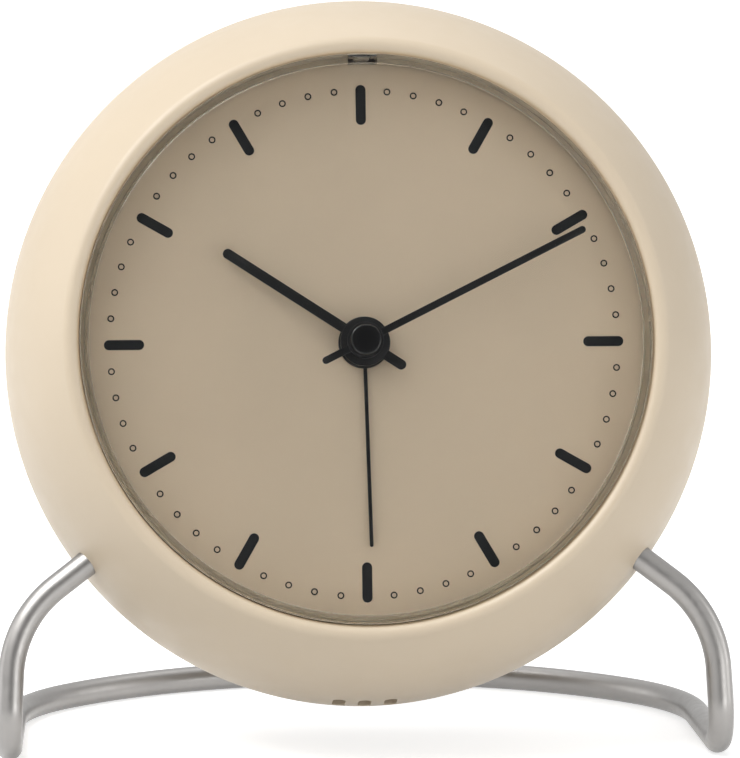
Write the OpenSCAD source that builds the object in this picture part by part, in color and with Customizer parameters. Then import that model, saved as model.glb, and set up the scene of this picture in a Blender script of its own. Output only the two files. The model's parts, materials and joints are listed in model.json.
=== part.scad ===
// Round alarm clock in a moulded case, held by a stand bent from one steel wire.
// Millimetres. Z is up and the dial faces -Y. The origin is the middle of the
// footprint, on the table. The head's own pieces are drawn in the dial's frame:
// x to the right, y towards twelve, z out of the dial, zero at the case's equator.

/* [Case] */
// Outer diameter of the case
case_d = 110; // [108:0.5:114]
// Radius of the curve across the case's side
case_side_r = 36; // [35:0.25:38]
// Thickness of the case's walls
case_wall = 2.4; // [2:0.1:2.6]
// Distance from the case's side in to the bore of the rolled lip
lip_band = 10.95; // [10.7:0.05:11.2]
// Radius of the rolled lip
lip_roll_r = 1.5; // [1.3:0.1:1.7]
// Thickness of the wall between dial space and case cavity
reveal_wall = 2; // [1.6:0.1:2.2]
// Distance from the equator back to the seam of the two shells
seam_depth = 14; // [13:0.5:15]
// Distance from the equator back to the flat back
case_back = 26; // [26:0.5:28]
// Radius of the edge round the flat back
back_edge_r = 3; // [2:0.5:3.5]
// Thickness of the flat back
back_wall = 2.2; // [2:0.1:2.4]
// Angle that the head leans back
head_tilt = 14; // [12:0.5:15]
// Height of the case's centre above the table
head_h = 61; // [60.5:0.1:63]
// Width of a sound slot
slot_w = 2; // [1.6:0.1:2.2]
// Length of a sound slot
slot_l = 5.4; // [4.5:0.1:6]
// Distance between sound slots
slot_pitch = 4; // [3.6:0.1:4.2]
// Number of sound slots
slot_count = 3; // [1:2:3]

/* [Crystal and dial] */
// Thickness of the crystal's face
crystal_t = 1.2; // [1:0.05:1.3]
// Thickness of the crystal's skirt under the face
skirt_top_t = 1.3; // [1:0.05:1.4]
// Thickness of the crystal's skirt at its foot
skirt_foot_t = 0.7; // [0.6:0.05:0.9]
// Depth of the crystal's face behind the lip
crystal_recess = 0.15; // [0:0.05:0.2]
// Clearance round the crystal and the dial
seat_gap = 0.05; // [0.03:0.01:0.1]
// Height of the gasket under the crystal's skirt
gasket_h = 0.5; // [0.4:0.05:0.6]
// Depth of the dial's face behind the front of the lip
dial_sink = 8.5306; // [8.4:0.0002:8.7]
// Thickness of the dial
dial_t = 0.8; // [0.6:0.1:1]
// Thickness of the printed marks
ink_t = 0.08; // [0.05:0.01:0.1]
// Distance from the lip's bore in to the middles of the batons
baton_inset = 7.05; // [6.7:0.05:8]
// Length of a baton
baton_l = 6.2; // [5.5:0.1:6.6]
// Width of a baton
baton_w = 1.55; // [1.3:0.05:1.7]
// Distance from the lip's bore in to the minute marks
mark_inset = 4.85; // [4.05:0.05:5.25]
// Outer diameter of a minute mark
minute_mark_d = 1.07; // [0.9:0.01:1.2]
// Width of a minute mark's line
minute_line_w = 0.2; // [0.15:0.01:0.25]

/* [Hands] */
// Angle of the minute hand from twelve
minute_angle = 63.4; // [0:0.1:360]
// Angle of the hour hand from twelve
hour_angle = 303.2; // [0:0.1:360]
// Angle of the alarm hand from twelve
alarm_angle = 178.7; // [0:0.1:360]
// Distance from the lip's bore in to the minute hand's tip
minute_inset = 5.85; // [5.05:0.1:8]
// Width of the minute hand
minute_w = 1.12; // [1:0.02:1.3]
// Reach of the hour hand from the centre
hour_reach = 25.8; // [24:0.1:28]
// Width of the hour hand
hour_w = 1.57; // [1.4:0.02:1.8]
// Reach of the alarm hand from the centre
alarm_reach = 31.6; // [30:0.1:33]
// Width of the alarm hand
alarm_w = 0.57; // [0.5:0.01:0.7]
// Length of the hour and minute hands behind the centre
hand_tail = 7.4; // [6:0.1:8]
// Thickness of the hands' blades
blade_t = 0.35; // [0.3:0.01:0.4]
// Thickness of the hands' bosses
boss_t = 0.9; // [0.8:0.05:1]
// Space between one hand's boss and the next
hand_gap = 0.9; // [0.7:0.05:1]
// Radius of the alarm hand's boss
alarm_boss_r = 4; // [3.8:0.1:4.2]
// Radius of the hour hand's boss
hour_boss_r = 3.8; // [3.6:0.1:4]
// Radius of the minute hand's boss
minute_boss_r = 2.8; // [2.7:0.1:3]
// Radius of the hub's cap
cap_r = 2.4; // [2.2:0.1:2.6]
// Height of the hub's cap over the minute hand's boss
cap_h = 1.3; // [1.2:0.05:1.4]

/* [Wire stand] */
// Diameter of the stand's wire
wire_d = 4; // [3.8:0.1:4.2]
// Distance of the legs' plane in front of the equator
leg_plane = 7.5; // [7:0.1:8]
// Angle below the dial's horizontal at which the wire enters the case
leg_angle = 37.6; // [37:0.1:38.2]
// Distance from the case's side out to the corner of each leg
leg_out = 13.6; // [13.2:0.1:14.2]
// How far the feet's corners stand out past the case's side
foot_out = 0.3; // [0:0.1:1]
// Radius of the upper bend in a leg, to the wire's middle
leg_bend_r = 18.2; // [17:0.1:19]
// Radius of the bend at a foot, to the wire's middle
foot_bend_r = 6.2; // [5.8:0.1:6.6]
// Radius of the bend from side to rail, to the wire's middle
side_bend_r = 32; // [30:0.5:34]
// How much larger the rear rail's arc is than half the distance between the feet
rail_extra = 6.7; // [5:0.1:8.5]
// Distance from the feet's corners back to the rail's middle
rail_depth = 70.5; // [69:0.5:72]
// Angle that the sides close towards the rail
side_close = 2.7; // [2:0.1:3.4]
// How far the wire's ends reach past their sockets
wire_past = 1.7522; // [1.3:0.0002:2.3]
// Wall of the sockets that hold the wire
socket_wall = 2; // [1.6:0.1:2.2]
// Clearance between the wire and its socket
socket_gap = 0.05; // [0.03:0.01:0.08]
// Length of a socket inside the case
socket_l = 8; // [7:0.5:9]

/* [Lamp] */
// Width of the lamp's holder
lamp_w = 4.3; // [4:0.1:4.6]
// Height of the lamp's holder along the dial's axis
lamp_h = 5.6; // [5:0.1:5.8]
// Width of the lamp's lens
lens_w = 2.5; // [2:0.1:2.7]
// Depth of the lamp's holder
lamp_depth = 2.3; // [2:0.1:2.4]
// Clearance round the lamp and its lens
lamp_gap = 0.1; // [0.08:0.01:0.15]

/* [Movement] */
// Width and height of the movement's box
move_w = 48; // [48:0.5:50]
// Wall of the movement's box
move_wall = 1.2; // [1:0.1:1.3]
// Depth of the movement's front half
move_front_t = 8.2; // [8.2:0.1:8.4]
// Depth of the movement's rear half
move_back_t = 8; // [8:0.1:8.4]
// Thickness of the carrier behind the dial
carrier_t = 2; // [1.8:0.1:2.2]
// Radius of the minute arbor
arbor_r = 0.75; // [0.7:0.01:0.78]
// Radial clearance between turning parts
run_gap = 0.05; // [0.04:0.01:0.06]
// Wall of the hour hand's tube
hour_tube_wall = 0.45; // [0.4:0.01:0.48]
// Wall of the alarm hand's tube
alarm_tube_wall = 0.5; // [0.45:0.01:0.52]
// Radius of the train's arbors
pivot_r = 0.3; // [0.26:0.01:0.32]
// Radius of the setting stems
stem_r = 1; // [0.9:0.02:1.05]
// Thickness of the train's wheels
wheel_t = 0.6; // [0.5:0.02:0.65]
// Thickness of the motion work's wheels
motion_t = 1; // [0.9:0.02:1.05]

/* [Battery] */
// Diameter of the battery
cell_d = 14.2; // [13.8:0.1:14.4]
// Length of the battery without its nub
cell_l = 49.2; // [48.5:0.1:49.4]
// Diameter of the battery's nub
nub_d = 5.3; // [5:0.1:5.5]
// Length of the battery's nub
nub_l = 1.1; // [1:0.1:1.3]
// Clearance round the battery in its bay
cell_gap = 0.5; // [0.4:0.05:0.55]
// Wall of the battery bay
bay_wall = 1.4; // [1.2:0.1:1.5]
// Distance of the bay's middle below the dial's axis
bay_drop = 20; // [19.5:0.1:20.3]
// Wire diameter of the coil spring
spring_wire_d = 0.6; // [0.5:0.02:0.65]
// Height of the coil spring
spring_h = 5; // [4.8:0.1:5.2]
// Thickness of the battery door
door_t = 1.6; // [1.4:0.1:1.7]
// Clearance round the battery door
door_gap = 0.25; // [0.2:0.01:0.3]

/* [Controls] */
// Diameter of the setting knobs
knob_d = 11; // [10:0.1:11.4]
// Thickness of the setting knobs
knob_t = 4.6; // [4.2:0.1:5]
// Number of flutes round a setting knob
knob_flutes = 28; // [20:1:32]
// Depth of the wells for the knobs
well_depth = 3; // [2.6:0.1:3.2]
// Clearance round a knob in its well
well_gap = 1; // [0.8:0.05:1.1]
// Travel of the alarm switch to each side
switch_travel = 2; // [1.8:0.1:2.2]
// Distance of the alarm switch above the dial's axis
switch_rise = 20; // [19:0.1:20.5]
// Width of the snooze and light button
button_w = 18; // [16:0.1:18.5]
// Height of the snooze and light button
button_h = 6; // [5.5:0.1:6.4]
// Distance of the snooze and light button above the dial's axis
button_rise = 32.5; // [32:0.1:33]
// Travel of the snooze and light button
button_travel = 1; // [0.8:0.05:1.1]
// Clearance round the switch and the button
control_gap = 0.2; // [0.15:0.01:0.25]

/* [Fasteners] */
// Radius of a screw's thread
screw_r = 1; // [0.9:0.02:1.05]
// Radius of a screw's head
screw_head_r = 2; // [1.8:0.05:2.1]
// Height of a screw's head
screw_head_t = 1.4; // [1.2:0.05:1.5]
// Radius of the posts that take the case's screws
post_r = 3.2; // [3:0.1:3.3]
// Distance of the case's screws in from the case's side
post_inset = 15; // [14.8:0.1:15.5]

/* [Hidden] */
$fn = 96;

// Colours
sand = [0.86, 0.80, 0.71];
dial_sand = [0.68, 0.61, 0.52];
black = [0.08, 0.08, 0.08];
brown = [0.16, 0.10, 0.06];
steel = [0.70, 0.70, 0.69];
brass = [0.80, 0.66, 0.32];
copper = [0.72, 0.42, 0.24];
white_plastic = [0.88, 0.88, 0.86];
grey_plastic = [0.45, 0.45, 0.44];
board_green = [0.10, 0.36, 0.22];

// One overrun serves every cut
over = 0.5;

// Case outline, in radius and height
case_r = case_d / 2;
lip_bore_r = case_r - lip_band;
side_cx = case_r - case_side_r;
lip_cr = lip_bore_r + lip_roll_r;
lip_cz = sqrt(pow(case_side_r - lip_roll_r, 2) - pow(lip_cr - side_cx, 2));
back_cz = back_edge_r - case_back;
back_cr = side_cx + sqrt(pow(case_side_r - back_edge_r, 2) - pow(back_cz, 2));
lip_front = lip_cz + lip_roll_r;
plate_in = back_wall - case_back;
reveal_r = lip_bore_r + reveal_wall;
post_ring_r = case_r - post_inset;
// How far the lip's roll crosses the side's arc where they meet
roll_lap = 0.01;
inner_side_r = case_side_r - case_wall;
function inner_r(z) = side_cx + sqrt(pow(inner_side_r, 2) - pow(z, 2));

// Circles on the dial, and the minute hand's reach
baton_ring_r = lip_bore_r - baton_inset;
minute_ring_r = lip_bore_r - mark_inset;
minute_reach = lip_bore_r - minute_inset;

// Heights along the dial's axis
dial_depth = lip_front - dial_sink;
crystal_top = lip_front - crystal_recess;
crystal_under = crystal_top - crystal_t;
gasket_top = dial_depth + gasket_h;
dial_back = dial_depth - dial_t;
carrier_back = dial_back - carrier_t;
alarm_boss_z = dial_depth + hand_gap / 2;
hour_boss_z = alarm_boss_z + boss_t + hand_gap;
minute_boss_z = hour_boss_z + boss_t + hand_gap;
cap_z = minute_boss_z + boss_t;
rim_r = 0.3;
move_seam = carrier_back - move_front_t;
move_back = move_seam - move_back_t;
front_plate = carrier_back - move_wall;
back_plate = move_back + move_wall;
pivot_l = move_wall * 2 / 3;

// Concentric tubes round the minute arbor
hour_tube_in = arbor_r + run_gap;
hour_tube_out = hour_tube_in + hour_tube_wall;
alarm_tube_in = hour_tube_out + run_gap;
alarm_tube_out = alarm_tube_in + alarm_tube_wall;
bush_in = alarm_tube_out + run_gap;
bush_out = bush_in + move_wall;
dial_hole_r = bush_out + seat_gap;

// Gears: teeth and modules, and the layers that they lie in
motion_mod = 0.25;
hour_mod = 0.24;
alarm_mod = 0.3;
train_mod = 0.2;
third_mod = 0.16;
cannon_teeth = 12;
minute_teeth = 36;
minute_pinion_teeth = 10;
hour_teeth = 40;
alarm_teeth = 32;
alarm_pinion_teeth = 20;
centre_teeth = 60;
third_pinion_teeth = 8;
third_teeth = 64;
fourth_pinion_teeth = 8;
fourth_teeth = 40;
fifth_pinion_teeth = 8;
fifth_teeth = 36;
rotor_pinion_teeth = 6;
// Tooth shape, as shares of the module and of the tooth's pitch
addendum_share = 0.8;
dedendum_share = 1.15;
tip_share = 0.1;
pitch_share = 0.215;
root_share = 0.25;
// Lightening holes, as shares of a wheel's diameter
hole_share = 0.2;
ring_share = 0.29;
// Distances between arbors
minute_run = (cannon_teeth + minute_teeth) * motion_mod / 2;
alarm_run = (alarm_teeth + alarm_pinion_teeth) * alarm_mod / 2;
third_run = (centre_teeth + third_pinion_teeth) * train_mod / 2;
fourth_run = (third_teeth + fourth_pinion_teeth) * third_mod / 2;
fifth_run = (fourth_teeth + fifth_pinion_teeth) * train_mod / 2;
rotor_run = (fifth_teeth + rotor_pinion_teeth) * train_mod / 2;
// Directions from each arbor to the next
minute_dir = 30;
alarm_dir = 150;
third_dir = -60;
fourth_dir = -20;
fifth_dir = -60;
rotor_dir = -120;
function polar(r, a) = [r * cos(a), r * sin(a)];
minute_at = polar(minute_run, minute_dir);
time_at = minute_at + polar(minute_run, minute_dir);
alarm_at = polar(alarm_run, alarm_dir);
third_at = polar(third_run, third_dir);
fourth_at = third_at + polar(fourth_run, fourth_dir);
fifth_at = fourth_at + polar(fifth_run, fifth_dir);
rotor_at = fifth_at + polar(rotor_run, rotor_dir);
// Layers, each from the one before it
layer_gap = 0.5;
alarm_wheel_z = front_plate - layer_gap / 2 - motion_t;
hour_wheel_z = alarm_wheel_z - layer_gap - motion_t;
minute_wheel_z = hour_wheel_z - layer_gap - motion_t;
centre_wheel_z = minute_wheel_z - 2 * layer_gap - wheel_t;
third_wheel_z = centre_wheel_z - 2 * layer_gap - wheel_t;
fourth_wheel_z = third_wheel_z - 2 * layer_gap - wheel_t;
fifth_wheel_z = fourth_wheel_z - 2 * layer_gap - wheel_t;
// How far a pinion reaches past the wheel that it drives
pinion_extra = 0.2;

// Stepping motor
stator_z = fourth_wheel_z + wheel_t + layer_gap;
stator_t = 0.8;
magnet_r = 2.6;
magnet_t = 1.6;
stator_hole_r = 3.1;
stator_ring_r = 5.4;
stator_slot_r = 0.8;
coil_len = 16;
coil_r = 2.9;
coil_left = -15.5;
coil_y = -19.2;
bobbin_r = 1.7;
flange_t = 0.8;
flange_r = 3.2;
core_w = 2.4;
core_over = 3;
arm_w = 2.6;
arm_y = -14.2;

// Circuit board
board_left = -22;
board_w = 12;
board_low = -10.5;
board_len = 30;
board_t = 1;
board_z = 2;
chip_r = 3;
chip_t = 1.2;
can_r = 1.5;
can_l = 8;
contact_w = 1.6;
contact_t = 0.2;
contact_reach = 9.5;
support_r = 1.2;

// Movement's lugs
lug_r = 3;
lug_t = 2;
lug_out = 3;
lug_y = 16;
lug_thread_l = 1.5;
lug_at = [for (sx = [-1, 1], sy = [-1, 1]) [sx * (move_w / 2 + lug_out), sy * lug_y]];
wall_fit = 0.05;

// Screws of the case and of the carrier, as angles round the dial's axis
case_screw_angles = [50, 130, 240, 300];
carrier_screw_angles = [35, 145, 245, 295];
carrier_screw_out = 2.65;
carrier_rim = 4.15;
carrier_ring_r = lip_bore_r + carrier_screw_out;
carrier_r = lip_bore_r + carrier_rim;
carrier_post_r = 2.2;
carrier_thread_l = 3.4;
post_front = 8;
web_t = 2;
web_start = 2.5;
tongue_l = 2;
tongue_t = 1.1;
tongue_gap = 0.15;
sleeve_r = 3.6;
sleeve_t = 2.4;
case_thread_l = 10;
cross_share = 1.4;
// Room left under a screw's point
thread_spare = 0.5;

// Sounder
sounder_r = 9;
sounder_t = 5.5;
sounder_z = 3;
sounder_shell_gap = 3.4;
cradle_wall = 1.2;
cradle_l = 4;
sounder_hole_r = 1.6;
sounder_disc_t = 0.5;
sounder_wall = 1;

// Lamp
lamp_base = gasket_top + lamp_gap;
lamp_front_y = lip_bore_r - skirt_foot_t / 2;
lens_proud = 0.1;
lens_depth = 1.4;

// Battery bay
bay_half = cell_d / 2 + cell_gap;
contact_plate_t = 0.4;
bay_len = contact_plate_t + nub_l + cell_l + spring_h + spring_wire_d;
door_z = -case_back;
cell_z = door_z + door_t + cell_gap + cell_d / 2;
bay_floor = cell_z + bay_half;
bay_y = -bay_drop;
bay_right = bay_len / 2;
cell_left = bay_right - contact_plate_t - nub_l - cell_l;
door_ledge = 1.6;
lug_w = 6;
door_lug_t = 1;
door_lug_l = 3;
door_notch_r = 4;
door_notch_depth = 0.6;
spring_turns = 4;
spring_rings = 8;
spring_sides = 6;
spring_r_big = 4.2;
spring_r_small = 2.4;
plate_w = 9;

// Knobs
knob_gap = 0.3;
flute_share = 0.05;
well_r = knob_d / 2 + well_gap;
well_floor = -case_back + well_depth;
well_plate = 1.6;
knob_face = well_floor - knob_gap;

// Alarm switch and snooze button
thumb_w = 4.4;
thumb_h = 3;
thumb_proud = 1.2;
slide_flange = 1.6;
slide_flange_t = 1;
switch_wall = 1.2;
switch_deep = 5;
button_proud = 1.4;
button_flange = 1;
button_flange_t = 1;
button_post_r = 1.2;
snooze_deep = 6;
rib_count = 3;
rib_w = 0.5;
rib_pitch = 1.1;
rib_h = 0.3;

// Wire stand: the head's frame first, and then the wire's corners
function to_world(p) = [
  p[0],
  head_y + p[1] * sin(head_tilt) - p[2] * cos(head_tilt),
  head_h + p[1] * cos(head_tilt) + p[2] * sin(head_tilt)
];
wire_r = wire_d / 2;
wire_end_r = inner_r(leg_plane) - socket_l - wire_past;
leg_corner_r = case_r + leg_out;
foot_half = case_r + foot_out;
rail_arc_r = foot_half + rail_extra;
clip_t = 0.8;
clip_r = 3.6;
foot_y = (wire_r - head_h - leg_plane * sin(head_tilt)) / cos(head_tilt);
foot_back = foot_y * sin(head_tilt) - leg_plane * cos(head_tilt);
head_front = -(lip_cr * sin(head_tilt) + lip_cz * cos(head_tilt) + lip_roll_r);
head_y = -(head_front + foot_back + rail_depth + wire_r) / 2;
leg_in = [polar(wire_end_r, -leg_angle)[0], polar(wire_end_r, -leg_angle)[1], leg_plane];
leg_top = [polar(leg_corner_r, -leg_angle)[0], polar(leg_corner_r, -leg_angle)[1], leg_plane];
wire_a = to_world(leg_in);
wire_b = to_world(leg_top);
wire_c = to_world([foot_half, foot_y, leg_plane]);
side_dir = [-sin(side_close), cos(side_close), 0];
side_in = [-cos(side_close), -sin(side_close), 0];
rail_centre = [0, wire_c[1] + rail_depth - rail_arc_r, wire_r];
side_from = wire_c + side_in * side_bend_r - rail_centre;
side_b = side_from * side_dir;
side_c = side_from * side_from - pow(rail_arc_r - side_bend_r, 2);
side_run = sqrt(side_b * side_b - side_c) - side_b;
side_centre = wire_c + side_dir * side_run + side_in * side_bend_r;
side_end = side_centre - side_in * side_bend_r;
rail_aim = atan2(side_centre[1] - rail_centre[1], side_centre[0]);

// The wire's middle line: corners rounded, then mirrored for the other half
function unit(v) = v / norm(v);
function arc_points(centre, x_dir, y_dir, a1, a2, steps) = [
  for (i = [0 : steps])
    let (a = a1 + (a2 - a1) * i / steps) centre + x_dir * cos(a) + y_dir * sin(a)
];
function corner_points(a, b, c, r, steps) =
  let (
    u = unit(a - b),
    w = unit(c - b),
    open = acos(u * w),
    centre = b + unit(u + w) * r / sin(open / 2),
    start = b + u * r / tan(open / 2)
  ) arc_points(centre, start - centre, -u * r, 0, 180 - open, steps);
leg_steps = 12;
foot_steps = 14;
side_steps = 8;
rail_steps = 10;
rail_step = (90 - rail_aim) / rail_steps;
function flat_arc(centre, r, a1, a2, steps) =
  arc_points(centre, [r, 0, 0], [0, r, 0], a1, a2, steps);
half_path = concat(
  [wire_a],
  corner_points(wire_a, wire_b, wire_c, leg_bend_r, leg_steps),
  corner_points(wire_b, wire_c, side_end, foot_bend_r, foot_steps),
  flat_arc(side_centre, side_bend_r, side_close, rail_aim, side_steps),
  flat_arc(rail_centre, rail_arc_r, rail_aim + rail_step, 90, rail_steps - 1)
);
function mirrored(p) = [-p[0], p[1], p[2]];
wire_path = concat(half_path, [for (i = [len(half_path) - 2 : -1 : 0]) mirrored(half_path[i])]);
function run_at(i) = unit(
  (i < len(wire_path) - 1 ? unit(wire_path[i + 1] - wire_path[i]) : [0, 0, 0])
  + (i > 0 ? unit(wire_path[i] - wire_path[i - 1]) : [0, 0, 0]));
function across(v, run) = unit(v - (v * run) * run);
wire_normals = [
  for (i = 0, n = across([0, 0, 1], run_at(0)); i < len(wire_path);
    i = i + 1, n = i < len(wire_path) ? across(n, run_at(i)) : n) n
];

// Moves what is drawn in the dial's frame to its place
module head() {
  translate([0, head_y, head_h]) rotate([90 - head_tilt, 0, 0]) children();
}

// Half of the head's outline: the side's arc between two rolled edges
module outline() {
  far = case_r + over;
  intersection() {
    side_disc(0);
    polygon([
      [0, -case_back],
      [back_cr, -case_back],
      [back_cr, back_cz],
      [far, back_cz * (far - side_cx) / (back_cr - side_cx)],
      [far, lip_cz * (far - side_cx) / (lip_cr - side_cx)],
      [lip_cr, lip_cz],
      [0, lip_cz]
    ]);
  }
  translate([lip_cr, lip_cz]) circle(lip_roll_r + roll_lap);
  translate([back_cr, back_cz]) circle(back_edge_r);
}

// Disc of the side's arc, drawn in by a wall
module side_disc(wall) {
  translate([side_cx, 0]) circle(case_side_r - wall, $fn = 240);
}

// Half of the space inside the side's arc, from one height to another
module inside(wall, z1, z2) {
  intersection() {
    side_disc(wall);
    band(0, case_r, z1, z2);
  }
}

// Ring section from one radius and height to another
module band(r1, r2, z1, z2) {
  translate([r1, z1]) square([r2 - r1, z2 - z1]);
}

// Tube along z
module tube(r_out, r_in, z1, z2) {
  difference() {
    translate([0, 0, z1]) cylinder(r = r_out, h = z2 - z1);
    translate([0, 0, z1 - over]) cylinder(r = r_in, h = z2 - z1 + 2 * over);
  }
}

module rod(r, z1, z2) {
  translate([0, 0, z1]) cylinder(r = r, h = z2 - z1);
}

// Moves children to a point in the dial's frame, heights kept
module place(point) {
  translate([point[0], point[1], 0]) children();
}

// Box centred on x and y, from one height to another
module slab(w, h, z1, z2) {
  translate([-w / 2, -h / 2, z1]) cube([w, h, z2 - z1]);
}

// Children at angles round the axis
module around(angles, r) {
  for (a = angles) rotate([0, 0, a]) translate([r, 0, 0]) children();
}

// Case ring: rolled lip, reveal wall, posts, sockets, slots
module socket_at(side) {
  translate([0, 0, leg_plane])
    rotate([0, 0, side > 0 ? -leg_angle : 180 + leg_angle])
      rotate([0, 90, 0])
        children();
}

module case_ring() {
  socket_start = inner_r(leg_plane) - socket_l;
  socket_r = wire_r + socket_gap + socket_wall;
  color(sand) head() {
    difference() {
      union() {
        rotate_extrude($fn = 240)
          difference() {
            intersection() {
              outline();
              band(0, case_r + over, -seam_depth, lip_front + over);
            }
            difference() {
              inside(case_wall, -case_back, lip_cz);
              band(lip_bore_r, reveal_r, dial_back, lip_front);
            }
            band(0, lip_bore_r, -case_back, lip_front + over);
          }
        for (side = [-1, 1]) socket_at(side)
          rod(socket_r, socket_start, inner_r(leg_plane) + case_wall / 2);
        around(case_screw_angles, post_ring_r) rod(post_r, -seam_depth, post_front);
        around(case_screw_angles, post_ring_r)
          translate([0, -web_t / 2, web_start - seam_depth])
            cube([inner_r(0) - post_ring_r - case_wall / 2, web_t,
              post_front + seam_depth - 2 * web_start]);
        around(carrier_screw_angles, carrier_ring_r)
          rod(carrier_post_r, dial_back + seat_gap, dial_back + carrier_thread_l);
        intersection() {
          translate([0, 0, sounder_z]) rotate([90, 0, 0])
            tube(sounder_r + seat_gap + cradle_wall, sounder_r + seat_gap,
              sounder_top - cradle_l, case_r);
          rotate_extrude($fn = 240) inside(case_wall / 2, -seam_depth, carrier_back - seat_gap);
        }
      }
      for (side = [-1, 1]) socket_at(side) rod(wire_r + socket_gap, 0, case_d);
      around(case_screw_angles, post_ring_r)
        rod(screw_r, -seam_depth - over, case_thread_l - seam_depth);
      around(carrier_screw_angles, carrier_ring_r)
        rod(screw_r, dial_back - over, dial_back + carrier_thread_l);
      for (i = [0 : slot_count - 1])
        translate([(i - (slot_count - 1) / 2) * slot_pitch, 0, 0]) sound_slot();
      translate([-lamp_w / 2 - lamp_gap, lamp_front_y - over, lamp_base - lamp_gap])
        cube([lamp_w + 2 * lamp_gap, lamp_depth + over + lamp_gap, lamp_h + 2 * lamp_gap]);
    }
  }
}

// Slot with round ends through the bottom of the case
sounder_top = inner_r(sounder_r) - sounder_shell_gap;
module sound_slot() {
  rotate([90, 0, 0]) linear_extrude(case_d) {
    translate([-slot_w / 2, sounder_z - (slot_l - slot_w) / 2]) square([slot_w, slot_l - slot_w]);
    for (s = [-1, 1]) translate([0, sounder_z + s * (slot_l - slot_w) / 2]) circle(slot_w / 2);
  }
}

// Rear cover: bay, wells, sleeves, openings for the controls
module bay_block(grow, z1, z2) {
  translate([0, bay_y, 0]) slab(bay_len + 2 * grow, 2 * (bay_half + grow), z1, z2);
}

module rear_cover() {
  door_half = bay_half + door_ledge;
  color(sand) head() {
    difference() {
      union() {
        rotate_extrude($fn = 240)
          difference() {
            intersection() {
              outline();
              band(0, case_r + over, -case_back, -seam_depth);
            }
            inside(case_wall, plate_in, -seam_depth + over);
          }
        rotate_extrude($fn = 240) {
          tongue_r = inner_r(-seam_depth) - tongue_gap;
          band(tongue_r - tongue_t, tongue_r, -seam_depth, tongue_l - seam_depth);
          intersection() {
            side_disc(case_wall / 2);
            band(tongue_r - tongue_t, tongue_r + tongue_t, -seam_depth - tongue_l, -seam_depth);
          }
        }
        intersection() {
          around(case_screw_angles, post_ring_r) rod(sleeve_r, -case_back, -seam_depth);
          rotate_extrude($fn = 240) inside(case_wall / 2, back_wall / 2 - case_back, -seam_depth);
        }
        bay_block(bay_wall, back_wall / 2 - case_back, bay_floor + bay_wall);
        for (at = [time_at, alarm_at])
          place(at)
            rod(well_r + bay_wall, back_wall / 2 - case_back, well_floor + well_plate);
      }
      around(case_screw_angles, post_ring_r) {
        rod(screw_r + control_gap, -case_back, 0);
        rod(screw_head_r + control_gap, -case_back - over, -seam_depth - sleeve_t);
      }
      bay_block(0, -case_back - over, bay_floor);
      translate([0, bay_y, 0])
        slab(bay_len + 2 * door_ledge, 2 * door_half, -case_back - over, door_z + door_t + seat_gap);
      for (s = [-1, 1]) translate([s * bay_right, bay_y, 0])
        slab(door_lug_t + 2 * door_gap, lug_w + 2 * door_gap,
          -case_back, door_z + door_t + door_lug_l + door_gap);
      for (at = [time_at, alarm_at]) place(at) {
        rod(well_r, -case_back - over, well_floor);
        rod(stem_r + run_gap, -case_back, well_floor + well_plate + over);
      }
      translate([0, switch_rise, 0])
        slab(thumb_w + 2 * switch_travel + 2 * control_gap, thumb_h + 2 * control_gap,
          -case_back - over, plate_in + over);
      translate([0, button_rise, 0])
        slab(button_w + 2 * control_gap, button_h + 2 * control_gap,
          -case_back - over, plate_in + over);
    }
  }
}

// Clear crystal with a skirt down to the gasket
module crystal() {
  crystal_r = lip_bore_r - seat_gap;
  color([0.85, 0.88, 0.90, 0.3]) head() {
    difference() {
      rotate_extrude($fn = 240)
        polygon([
          [0, crystal_under], [crystal_r - skirt_top_t, crystal_under],
          [crystal_r - skirt_foot_t, gasket_top], [crystal_r, gasket_top],
          [crystal_r, crystal_top], [0, crystal_top]
        ]);
      translate([-lamp_w / 2 - lamp_gap, crystal_r - skirt_top_t - over, gasket_top - over])
        cube([lamp_w + 2 * lamp_gap, skirt_top_t + 2 * over,
          lamp_base + lamp_h + lamp_gap - gasket_top + over]);
    }
  }
}

module crystal_gasket() {
  color(brown) head()
    rotate_extrude($fn = 240)
      band(lip_bore_r - skirt_foot_t, lip_bore_r - seat_gap, dial_depth, gasket_top);
}

module dial() {
  color(dial_sand) head() tube(lip_bore_r - seat_gap, dial_hole_r, dial_back, dial_depth, $fn = 240);
}

// Batons at the hours and small open circles at the other minutes
module baton() {
  translate([-(baton_l - baton_w) / 2, -baton_w / 2]) square([baton_l - baton_w, baton_w]);
  for (s = [-1, 1]) translate([s * (baton_l - baton_w) / 2, 0]) circle(baton_w / 2, $fn = 32);
}

module dial_marks() {
  hours = 12;
  minutes = 60;
  color(black) head() translate([0, 0, dial_depth]) linear_extrude(ink_t) {
    for (i = [0 : hours - 1]) rotate(i * 360 / hours) translate([baton_ring_r, 0]) baton();
    for (i = [0 : minutes - 1])
      if (i % (minutes / hours) != 0)
        rotate(i * 360 / minutes) translate([minute_ring_r, 0])
          difference() {
            circle(minute_mark_d / 2, $fn = 32);
            circle(minute_mark_d / 2 - minute_line_w, $fn = 32);
          }
  }
}

// Hand with round ends and a round boss; the blade lies in the middle of the boss's height
module hand(reach, tail, w, boss_r, bore_r, z) {
  difference() {
    union() {
      rod(boss_r, z, z + boss_t);
      translate([0, 0, z + boss_t / 2 - blade_t / 2]) linear_extrude(blade_t) {
        translate([-tail + (tail > 0 ? w / 2 : 0), -w / 2])
          square([reach + tail - (tail > 0 ? w : w / 2), w]);
        translate([reach - w / 2, 0]) circle(w / 2, $fn = 32);
        if (tail > 0) translate([w / 2 - tail, 0]) circle(w / 2, $fn = 32);
      }
    }
    rod(bore_r, z - over, z + boss_t + over);
  }
}

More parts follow.
